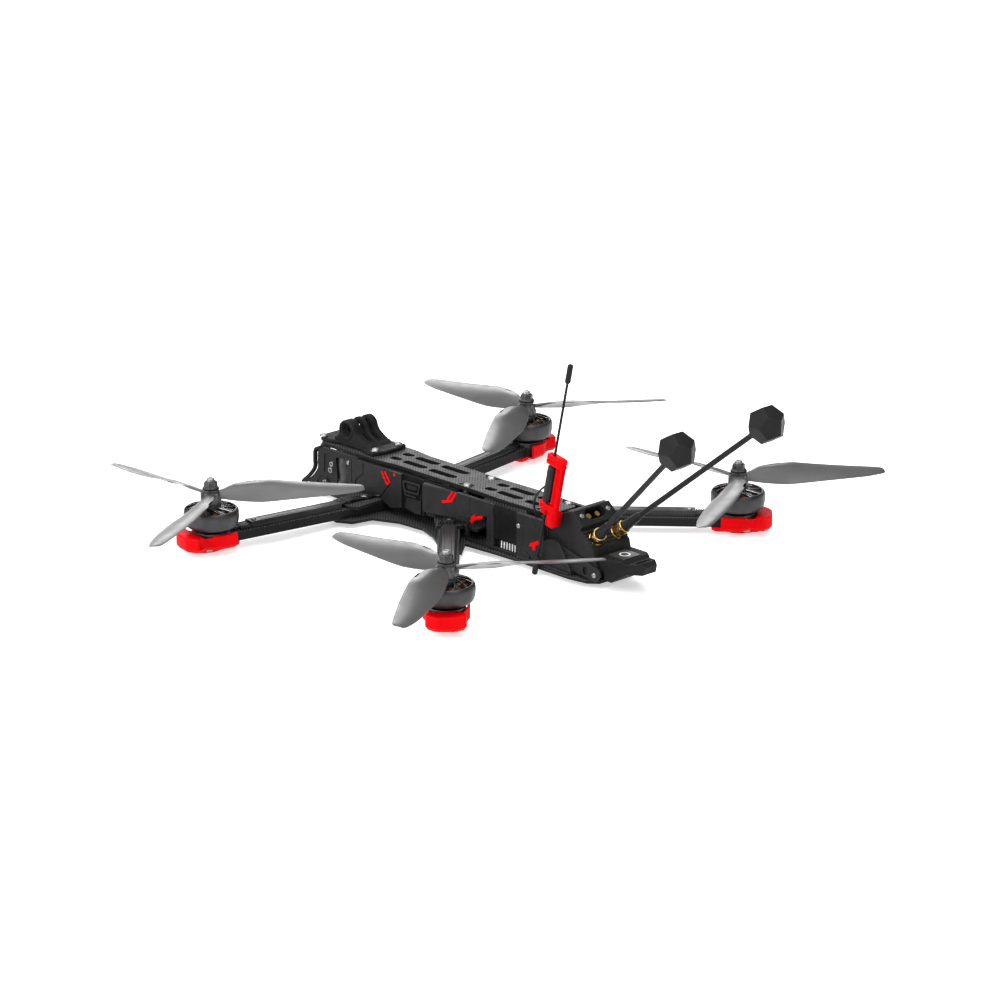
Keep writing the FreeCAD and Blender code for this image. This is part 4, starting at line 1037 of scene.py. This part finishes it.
def side_panels():
    pair("front_cover", front_cover, "panel_plastic", PANEL, bevel=0.4, segments=3, stands_for="side_panel_")
    pair("latch_recess", recess, "panel_plastic", DARK_PANEL, bevel=0.2)
    pair("battery_latch", latch, "panel_plastic", PANEL, bevel=0)
    pair("shoulder_cover", shoulder, "panel_plastic", PANEL, bevel=0.7, segments=3)
    pair("window_panel", mid_panel, "panel_plastic", PANEL, bevel=0.35, segments=3)
    pair("vent_field", vent_field, "panel_plastic", DARK_PANEL, bevel=0.3)
    pair("tail_panel", tail_panel, "panel_plastic", PANEL, bevel=0.35, segments=3)
    pair("gap_shade_strip", gap_shade_strip, "panel_plastic", DARK_PANEL, bevel=0)
    pair("motor_plug", motor_plug, "soft_black", JACKET, bevel=0)
    make("heat_sink_bars", heat_bars().with_mirror(), "dark_alloy", HEAT_SINK, bevel=0)
    make("panel_accent_set", panel_accents().with_mirror(), "red_guard", RED, bevel=0, stands_for=["accent_clips"])
    for side, sign in SIDES:
        for name, x, y, z in (("rear", -51.4, 19.7, 22.7), ("toe", 104.0, 17.0, 26.0)):
            cap_screw("panel_screw_" + name + "_" + side, side_place(x, y, z, sign), 1.5, 0.9)


# ---------------------------------------------------------------- nose and cameras
PIVOT = Vector((120.5, 0.0, 17.5))       # the flight camera's tilt axis


def nose():
    """Cage plates with their screws, a dark wall behind the camera, and the soft guard down the front edges."""
    x, z = PIVOT.x, PIVOT.z
    plate = Shape().side([(129.0, 30.8), (132.5, 27.0), (133.5, 15.0), (142.0, 4.5), (142.0, 2.1), (96.0, 2.1),
                          (96.0, 30.8)], 15.0, 17.0)
    holes = Shape().side([(116.4, 26.8), (105.4, 27.4), (105.4, 6.2), (117.4, 6.2), (114.8, 12.4), (115.6, 19.6)],
                         14.0, 18.0)
    for hollow in ([(127.4, 27.4), (122.4, 27.4), (122.6, 20.4), (127.6, 13.8)],
                   [(131.2, 11.4), (128.6, 12.6), (121.6, 13.4), (120.0, 6.0), (135.6, 6.0)]):
        holes.side(hollow, 16.3, 18.0)
    plate.cut(holes)
    make("cage_plate_pair", plate.with_mirror(), "carbon", CARBON, bevel=0.3, stands_for=["cage_plates"])
    for side, sign in SIDES:
        for name, sx, sz, size in (("tilt", 119.3, 21.7, 2.1), ("toe", 126.0, 8.4, 2.0), ("pivot", x, z, 2.4)):
            place = side_place(sx, 16.9, sz, sign)
            cap_screw("cage_screw_" + name + "_" + side, place, size, 1.2, ALLOY)
            ring = Shape(place).lathe([(size * 0.5, 1.0), (size * 0.72, 1.0), (size * 0.7, 1.3), (size * 0.5, 1.3)], 28)
            make("cage_washer_" + name + "_" + side, ring, "steel", STEEL, bevel=0)
    wall = Shape().box(99.4, 101.0, -14.8, 14.8, 4.6, 29.8, 0.3)
    make("camera_bulkhead", wall, "soft_black", SOFT, bevel=0)
    line = smooth([(130.6, 30.0), (136.2, 27.4), (137.0, 21.0), (137.2, 15.4), (141.6, 9.6), (148.3, 3.9)], 5)
    strip = Shape()
    for offset, width, y0, y1 in ((0.0, 2.0, 14.6, 17.2), (-3.4, 1.2, 15.2, 16.6)):
        strip.side(band([(px + offset, pz) for px, pz in line], width), y0, y1, 0.3)
    strip.with_mirror()
    strip.box(147.3, 149.6, -16.8, 16.8, 2.3, 4.4, 0.5)
    strip.box(135.4, 137.6, -15.0, 15.0, 25.6, 27.4, 0.5)
    make("nose_guard", strip, "soft_black", SOFT, bevel=0, stands_for=["nose_bumper"])


def flight_camera():
    """Stepped shell with cooling grooves, lens barrel with grip ribs, and a domed front glass."""
    x, z = PIVOT.x, PIVOT.z
    shell = Shape().box(x - 8.4, x + 3.6, -9.4, 9.4, z - 8.6, z + 8.6, 0.9)
    shell.box(x + 3.0, x + 7.0, -8.2, 8.2, z - 7.8, z + 7.8, 0.7)
    shell.box(x + 6.6, x + 7.4, -7.0, 7.0, z - 6.6, z + 6.6, 0.3)
    shell.box(x - 8.0, x + 2.6, -13.4, 13.4, z - 8.2, z + 8.2, 0.6)
    shell.box(x - 7.0, x + 1.6, -13.8, 13.8, z - 2.4, z + 5.4, 0.3)
    for k in range(5):
        shell.box(x - 6.8 + 2.0 * k, x - 5.6 + 2.0 * k, -9.4, 9.4, z - 9.1, z + 9.1, 0.25)
    for _, sign in SIDES:
        shell.place = side_place(x, 13.2, z, sign)
        shell.disc(0, 0, 3.4, 0.0, 1.2, 32, 0.3)
    make("flight_camera_shell", shell, "camera_shell", CAMERA, body="camera", bevel=0, stands_for=["camera_housing"])
    place = axis_place((x, 0, z), (1, 0, 0))
    profile = [(3.0, 2.0), (5.0, 2.0), (5.0, 8.8), (6.0, 9.0)]
    for k in range(6):
        profile += [(6.0, 9.2 + 0.6 * k), (5.7, 9.5 + 0.6 * k)]
    profile += [(6.0, 13.2), (6.0, 15.0), (5.6, 15.5), (5.0, 15.5), (3.9, 13.4), (3.0, 13.4)]
    barrel = Shape(place).lathe(profile, 56)
    make("lens_barrel", barrel, "lens_glass", DARK_PANEL, body="camera", bevel=0, stands_for=["camera_lens"])
    dome = Shape(place).lathe([(0.0, 12.0), (4.4, 12.0), (4.4, 13.6), (3.6, 14.3), (2.2, 14.9), (0.0, 15.2)], 48)
    make("front_glass", dome, "lens_glass", GLASS, body="camera", bevel=0)


def camera_mount():
    """Soft mount: base with four screw pads, three prongs on a flared foot, round boss with a nut pocket."""
    hx, hz = 113.0, 44.0
    base_high = MOUNT_SEAT
    base = both_sides([(137.0, 9.0), (133.4, 14.2), (126.0, 14.0), (118.0, 11.6), (98.0, 11.6), (91.0, 14.2),
                       (84.6, 14.2), (82.4, 6.0)])
    shape = Shape().prism(base, TOP_TOP, base_high, 0.5)
    foot = smooth([(125.6, base_high - 0.6), (121.6, 39.0), (119.9, 42.0), (119.5, 44.0)], 4)
    crown = [(hx + 6.55 * math.cos(t), hz + 6.55 * math.sin(t)) for t in [math.pi * k / 16 for k in range(1, 16)]]
    back = smooth([(106.4, 44.6), (104.4, 42.0), (99.0, 38.8), (91.6, base_high - 0.6)], 4)
    profile = [tuple(p) for p in foot] + crown + [tuple(p) for p in back]
    prongs = Shape()
    for y0, y1 in ((4.2, 10.9), (-2.6, 0.6), (-10.9, -6.0)):
        prongs.side(profile, y0, y1, 0.6)
    sill = base_high + 1.6
    prongs.side([(124.6, base_high - 0.6), (124.2, sill), (95.0, sill), (92.6, base_high - 0.6)], -10.5, 10.5, 0.3)
    place = side_place(hx, 0, hz)
    prongs.cut(Shape(place).disc(0, 0, 2.6, -14, 14, 40))
    prongs.cut(Shape(place).prism(circle(0, 0, 4.9, 6), 8.0, 12))
    collar = Shape(place).lathe([(5.0, 10.2), (6.2, 10.2), (6.2, 11.3), (5.7, 11.6), (5.3, 11.6), (5.0, 11.3)], 48)
    make("mount_prongs", prongs.merge(collar), "soft_black", SOFT, bevel=0, rim=0)
    make("mount_base", shape, "soft_black", SOFT, bevel=0.3, stands_for=["action_camera_mount"])


# ---------------------------------------------------------------- tail
PANEL_EDGE = (-91.0, 40.3)       # upper edge of the tail's sloping panel, x and z
PANEL_FOOT = (-111.0, 23.0)      # and its lower edge
ANTENNA_FOOT = Vector((-107.1, 9.2, 26.6))         # of the left one
ANTENNA_HEAD = Vector((-197.0, 37.6, 106.5))
HEAD_R = 12.0


def panel_place():
    """On the sloping panel: local X to the left, Y down the slope, Z out of it."""
    run = Vector((PANEL_FOOT[0] - PANEL_EDGE[0], 0, PANEL_FOOT[1] - PANEL_EDGE[1])).normalized()
    left = Vector((0, 1, 0))
    turn = Matrix((left, run, left.cross(run))).transposed().to_4x4()
    return Matrix.Translation((PANEL_EDGE[0], 0, PANEL_EDGE[1])) @ turn


def on_side(point, sign):
    return Vector((point.x, point.y * sign, point.z))


def antenna_place(sign):
    foot = on_side(ANTENNA_FOOT, sign)
    return axis_place(foot, on_side(ANTENNA_HEAD, sign) - foot)


def tail_block():
    outline = [(-73.0, 2.1), (-73.0, 31.0), (-76.0, 34.0), (-88.0, 39.9), (-90.6, 40.2), (-100.5, 32.1),
               (-99.2, 30.6), (-110.2, 21.1), (-113.0, 10.0), (-108.0, 2.1)]
    shape = Shape().side(outline, -16.0, 16.0, 0.8)
    shape.side([(-74.0, 1.95), (-106.0, 1.95), (-106.0, 5.0), (-74.0, 5.0)], -13.0, 13.0)
    shape.place = panel_place()
    shape.box(-15.8, 15.8, 0.6, 12.4, -0.6, 1.3, 0.5)
    for k in range(5):
        shape.box(-15.4, 15.4, 14.4 + 2.3 * k, 15.6 + 2.3 * k, -2.6, -1.1, 0.3)
    tools = Shape(panel_place()).prism(stadium(0, 5.7, 8.2, 3.9), -9.0, 3.0)
    for _, sign in SIDES:
        tools.place = antenna_place(sign)
        tools.disc(0, 0, 3.2, -7.0, 6.0, 36)
        tools.disc(0, 0, 4.7, -2.9, 7.0, 36)
    shape.cut(tools)
    make("tail_shell", shape, "panel_plastic", PANEL, bevel=0.3, stands_for=["tail_block"])

    def cheek():
        """Humped plate on the tail's side, with a slot and the cover's lower lip."""
        hump = smooth([(-72.8, 18.0), (-76.0, 20.0), (-84.0, 20.4), (-88.0, 17.0), (-95.4, 5.0)], 5)
        plate = Shape().side([tuple(p) for p in hump] + [(-95.4, 2.2), (-72.8, 2.2)], 16.0, 19.6)
        low_plate = [(-86.8, 17.6), (-95.0, 4.6), (-114.0, 1.9), (-118.0, 6.7), (-116.9, 9.8), (-104.0, 13.6)]
        plate.side(low_plate, 15.8, 17.6, 0.4)
        slot = Shape().side([(-105.4 + x, 7.4 + z * 1.4) for x, z in circle(0, 0, 2.0, 24)], 16.2, 18.6)
        slot.side(band([(-73.2, 13.0), (-80.0, 15.4), (-86.0, 14.0), (-91.0, 6.0)], 0.6), 19.1, 20.6)
        return plate.cut(slot)

    pair("tail_cheek", cheek, "panel_plastic", PANEL, bevel=0.35, segments=3)
    for side, sign in SIDES:
        cap_screw("tail_screw_" + side, panel_place() @ Matrix.Translation((11.0 * sign, 5.7, 1.2)), 1.6, 0.9)
        cap_screw("cheek_screw_" + side, side_place(-112.9, 17.4, 6.2, sign), 1.6, 0.9)


def wing():
    """Faceted rear wing: raised seat for the puck, stepped lower edge, ribs across its root."""
    seat = low("positioning_puck").z
    profile = [(-113.2, seat), (-113.2, 17.0), (-129.4, 17.0), (-132.0, 15.6), (-140.0, 17.4), (-143.0, 15.0),
               (-141.4, 10.2), (-132.4, 9.6), (-123.4, 3.2), (-117.4, 3.2), (-117.4, 8.0)]
    shape = Shape().side(profile, -13.5, 13.5)
    tips = Shape()
    for _, sign in SIDES:
        tips.prism([(-126.0, 13.6 * sign), (-133.0, 9.6 * sign), (-143.2, 4.8 * sign), (-146.0, 15.0 * sign)],
                   0.0, 30.0)
    shape.cut(tips)
    shape.cut(Shape().box(-129.0, -114.4, -7.3, 7.3, seat, 20.0))
    shape.cut(Shape().side([(-133.6, 16.0), (-138.2, 18.2), (-139.0, 15.6), (-134.4, 14.6)], -6.2, 6.2))
    make("wing_moulding", shape, "soft_black", SOFT, bevel=0.6, segments=3, stands_for=["tail_wing"])


def gold_nuts():
    """Coaxial sockets: barrel, six-sided nut, thin front rings."""
    shape = Shape()
    for _, sign in SIDES:
        shape.place = antenna_place(sign)
        shape.lathe([(2.3, -6.4), (3.0, -6.4), (3.0, -2.7), (4.4, -2.7), (4.4, -2.0), (3.4, -1.7), (2.3, -1.7)], 40)
        shape.skin([[(x, y, z) for x, y in circle(0, 0, 4.5 * share, 6)]
                    for share, z in ((0.96, -1.8), (1.0, -1.5), (1.0, 3.4), (0.96, 3.8))])
        shape.lathe([(3.4, 3.5), (4.0, 3.5), (4.2, 3.9), (4.2, 4.9), (3.9, 5.3), (3.4, 5.3)], 40)
    make("coax_nuts", shape, "gold", GOLD, bevel=0.15, stands_for=["antenna_nuts"])


def dodecahedron(shape, centre, radius):
    """Twelve five-sided faces between the corners that the golden ratio gives."""
    phi = (1 + math.sqrt(5)) / 2
    corners = [Vector((x, y, z)) for x in (-1, 1) for y in (-1, 1) for z in (-1, 1)]
    ways = []
    for a in (-1, 1):
        for b in (-1, 1):
            corners += [Vector(c) for c in ((0, a / phi, b * phi), (a / phi, b * phi, 0), (b * phi, 0, a / phi))]
            ways += [Vector(w) for w in ((0, a * phi, b), (a * phi, b, 0), (b, 0, a * phi))]
    verts = [shape.bm.verts.new(centre + c * (radius / math.sqrt(3))) for c in corners]
    for way in ways:
        nearest = sorted(range(len(corners)), key=lambda n: (-round(corners[n].dot(way), 4), n))[:5]
        side = corners[nearest[0]] - way * (corners[nearest[0]].dot(way) / way.dot(way))
        up = way.cross(side).normalized()
        side.normalize()
        nearest.sort(key=lambda n: math.atan2(corners[n].dot(up), corners[n].dot(side)))
        shape.bm.faces.new([verts[n] for n in nearest])


def video_antennas():
    length = (ANTENNA_HEAD - ANTENNA_FOOT).length
    for side, sign in SIDES:
        shape = Shape(antenna_place(sign))
        boot = [(0.0, 2.0), (2.7, 2.0), (3.2, 4.4), (3.25, 6.0)]
        for k in range(5):
            boot += [(3.2 - 0.06 * k, 6.4 + 1.1 * k), (2.95 - 0.06 * k, 6.8 + 1.1 * k), (3.2 - 0.06 * k, 7.2 + 1.1 * k)]
        boot += [(2.75, 13.0), (2.4, 17.2), (2.2, 18.4), (1.7, 18.8), (0.0, 18.8)]
        shape.lathe(boot, 32)
        shape.lathe([(0.0, 15.0), (1.7, 15.0), (1.7, length - 10.6), (2.5, length - 10.2), (2.6, length - 8.0),
                     (0.0, length - 8.0)], 24)
        dodecahedron(shape, on_side(ANTENNA_HEAD, sign), HEAD_R)
        make("video_antenna_shell_" + side, shape, "antenna_shell", ANTENNA, bevel=0.5, segments=3,
             stands_for=["video_antenna_" + side])


def puck_lid():
    """The positioning puck's lid, with a plain pale ring on it."""
    centre = middle("positioning_puck")
    place = Matrix.Translation((centre.x, centre.y, high("positioning_puck").z))
    ring = Shape(place).lathe([(2.5, -0.05), (3.5, -0.05), (3.5, 0.06), (2.5, 0.06)], 48)
    make("puck_ring", ring, "puck_ceramic", MARK, bevel=0)
    lid = Shape(place).skin([[(x, y, z) for x, y in circle(0, 0, r, 4, math.pi / 4)]
                             for r, z in ((8.6, -0.5), (8.6, -0.15), (8.2, 0.02))])
    make("puck_lid", lid, "puck_ceramic", PUCK, bevel=0.2)


# ---------------------------------------------------------------- receiver antenna and its lead
ROD_Y = 23.4
ROD_FOOT = (-76.6, 33.5)
ROD_LEAN = math.radians(12.0)


def rod_place():
    """Local Z up the leaning rod, local Y to the drone's right, local X towards the tail."""
    up = Vector((-math.sin(ROD_LEAN), 0.0, math.cos(ROD_LEAN)))
    back = Vector((-math.cos(ROD_LEAN), 0.0, -math.sin(ROD_LEAN)))
    turn = Matrix((back, up.cross(back), up)).transposed().to_4x4()
    return Matrix.Translation((ROD_FOOT[0], ROD_Y, ROD_FOOT[1])) @ turn


def antenna_holder():
    """Red clip: hexagonal flanges above and below, a channelled spine and a foot on the tail."""
    place = rod_place()
    flange = [(-4.8, -1.2), (-3.2, -3.0), (7.4, -3.0), (9.6, -1.6), (9.6, 1.6), (7.4, 3.0), (-3.2, 3.0), (-4.8, 1.2)]
    shape = Shape(place)
    for low_z, high_z in ((37.2, 39.6), (40.4, 43.0), (8.2, 10.2), (10.8, 12.0)):
        shape.prism(flange, low_z, high_z, 0.4)
    shape.prism(inset(flange, 0.6), 39.2, 40.8)
    shape.prism(inset(flange, 0.6), 10.0, 11.0)
    shape.box(5.6, 9.0, -1.7, 1.7, 2.0, 41.0, 0.4)
    shape.box(4.8, 6.2, -2.3, -1.3, 12.0, 37.4, 0.3)
    shape.box(4.8, 6.2, 1.3, 2.3, 12.0, 37.4, 0.3)
    shape.box(3.6, 9.2, -2.4, 5.0, -1.4, 8.4, 0.6)
    shape.box(-2.0, 2.0, -2.0, 2.0, 4.6, 8.4, 0.4)
    shape.cut(Shape(place).disc(0, 0, 1.0, -6, 50))
    make("antenna_clip", shape, "red_guard", RED, bevel=0, rim=0, stands_for=["antenna_holder"])


def receiver_antenna():
    """Thin rod with a capped tube on each end, and the shrunk sleeve over its middle."""
    bottom, top = -36.6, 102.4
    rod = Shape(rod_place()).lathe([(0.0, bottom + 1), (0.8, bottom + 1), (0.8, top - 1), (0.0, top - 1)], 16)
    for z0, z1 in ((bottom, bottom + 11.8), (top - 11.8, top)):
        rod.lathe([(0.0, z0), (1.3, z0), (1.7, z0 + 0.5), (1.75, z0 + 1.4), (1.75, z1 - 1.4), (1.7, z1 - 0.5),
                   (1.3, z1), (0.0, z1)], 28)
    make("antenna_rod", rod, "antenna_shell", ANTENNA, bevel=0, rim=0, stands_for=["receiver_antenna"])
    sleeve = [(0.0, 12.4), (1.5, 12.4), (2.9, 13.2)]
    for k in range(8):
        sleeve.append((3.1 - 0.14 * (k % 2), 14.6 + 2.8 * k))
    sleeve += [(2.8, 35.8), (1.4, 36.6), (0.0, 36.6)]
    make("sleeve", Shape(rod_place()).lathe(sleeve, 28), "soft_black", SLEEVE, bevel=0, rim=0)


LEAD_ROUTE = ((-79.0, 22.6, 56.0), (-73.5, 22.6, 52.0), (-68.0, 21.8, 46.0), (-64.4, 20.0, 39.6),
              (-63.0, 17.2, 34.2), (-63.8, 15.6, 29.4), (-66.6, 14.9, 26.0), (-70.9, 14.6, 24.8))
LEAD_D = 0.0013           # metres


def receiver_lead():
    """Thin lead from the sleeve down to the receiver."""
    curve = bpy.data.curves.new("receiver_lead_line", "CURVE")
    curve.dimensions = "3D"
    spline = curve.splines.new("NURBS")
    spline.points.add(len(LEAD_ROUTE) - 1)
    for point, place in zip(spline.points, LEAD_ROUTE):
        point.co = (*[v * MM for v in place], 1.0)
    spline.order_u = 3
    spline.use_endpoint_u = True
    spline.resolution_u = 8
    curve.bevel_depth = LEAD_D / 2
    curve.bevel_resolution = 4
    curve.use_fill_caps = True
    curve.materials.append(JACKET)
    lead = linked("receiver_lead_cord", curve)
    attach(lead, "frame")
    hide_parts("receiver_lead")


# ---------------------------------------------------------------- floor, light, camera
def stage():
    """Seamless pale floor under the skids' feet."""
    bm = bmesh.new()
    half = 6.0
    corners = ((-half, -half), (half, -half), (half, half), (-half, half))
    bm.faces.new([bm.verts.new((x, y, SKID_LOW * MM)) for x, y in corners])
    mesh = bpy.data.meshes.new("floor")
    bm.to_mesh(mesh)
    bm.free()
    floor = linked("floor", mesh)
    look = Look("pale_floor", Roughness=0.9, Specular_IOR_Level=0.1)
    look.feed("Base Color", look.mix(look.spread(look.noise(400.0), 0.0, 1.0), (0.9, 0.9, 0.9), (0.92, 0.92, 0.92)))
    look.shader.inputs["Emission Color"].default_value = (1.0, 1.0, 1.0, 1.0)
    look.shader.inputs["Emission Strength"].default_value = 0.5
    mesh.materials.append(look.material)


def soft_light(name, place, size, power):
    """Rectangular lamp that looks at the drone's middle."""
    data = bpy.data.lights.new(name, "AREA")
    data.shape = "RECTANGLE"
    data.size, data.size_y = size
    data.energy = power
    lamp = linked(name, data)
    lamp.location = place
    lamp.rotation_mode = "QUATERNION"
    lamp.rotation_quaternion = (-Vector(place)).to_track_quat("-Z", "Y")


def lights():
    soft_light("overhead", (0.1, 0.2, 1.9), (2.2, 2.2), 56)
    soft_light("left_rim", (0.5, 1.9, 0.9), (1.6, 0.9), 30)
    soft_light("behind", (1.9, -1.2, 1.0), (1.6, 0.9), 26)
    soft_light("tail_fill", (-1.9, 0.5, 1.2), (1.4, 1.0), 12)
    world = bpy.data.worlds.new("studio")
    world.use_nodes = True
    bpy.context.scene.world = world
    tree = world.node_tree
    back = tree.nodes["Background"]
    rays = tree.nodes.new("ShaderNodeLightPath")
    share = tree.nodes.new("ShaderNodeMapRange")
    share.inputs["To Min"].default_value = 0.32
    share.inputs["To Max"].default_value = 1.0
    tree.links.new(rays.outputs["Is Camera Ray"], share.inputs["Value"])
    tree.links.new(share.outputs["Result"], back.inputs["Strength"])
    back.inputs["Color"].default_value = (1.0, 1.0, 1.0, 1.0)


# where the camera stands, in metres, and which way it looks, in radians
CAMERA_PLACE = (-1.58822, 1.52605, 0.74730)
CAMERA_AZIMUTH = -2.341
CAMERA_ELEVATION = 0.318
CAMERA_ROLL = 0.003
CAMERA_LENS = 136.3


def camera():
    data = bpy.data.cameras.new("camera")
    data.lens = CAMERA_LENS
    data.sensor_width = 36.0
    data.clip_start = 0.05
    data.clip_end = 50.0
    shot = linked("camera", data)
    a, e, roll = CAMERA_AZIMUTH, CAMERA_ELEVATION, CAMERA_ROLL
    back = Vector((math.sin(a) * math.cos(e), -math.cos(a) * math.cos(e), math.sin(e)))
    right = Vector((math.cos(a), math.sin(a), 0.0))
    up = back.cross(right)
    x = right * math.cos(roll) + up * math.sin(roll)
    y = up * math.cos(roll) - right * math.sin(roll)
    turn = Matrix((x, y, back)).transposed().to_4x4()
    shot.matrix_world = Matrix.Translation(CAMERA_PLACE) @ turn
    bpy.context.scene.camera = shot
    bpy.context.scene.view_settings.view_transform = "Standard"


# ---------------------------------------------------------------- everything in its place
for corner in CORNERS:
    propeller(corner)
    propeller_nut(corner)
    threaded_shaft(corner)
    bell(corner)
    skid(corner)
    keep("arm_" + corner, CARBON, 0.5)
coils()
arm_covers()
motor_leads()
frame_screws()
top_plate()
side_panels()
nose()
flight_camera()
camera_mount()
tail_block()
wing()
gold_nuts()
video_antennas()
puck_lid()
antenna_holder()
receiver_antenna()
receiver_lead()
for node, look, rounding in (("motor_bases", ALLOY, 0.12), ("stators", IRON, 0.1), ("bearings", STEEL, 0.1),
                             ("motor_bolts", STEEL, 0.1), ("bottom_plate", CARBON, 0.35),
                             ("middle_plate", CARBON, 0.3), ("standoffs", ALLOY, 0.1),
                             ("speed_controller", BOARD, 0.1), ("flight_controller", BOARD, 0.1),
                             ("receiver", BOARD, 0.1), ("video_unit", ALLOY, 0.25), ("link_button", SOFT, 0.2),
                             ("power_plug", DARK_PANEL, 0.2), ("power_pins", GOLD, 0.3),
                             ("positioning_puck", PUCK, 0.3)):
    keep(node, look, rounding)
stage()
lights()
camera()
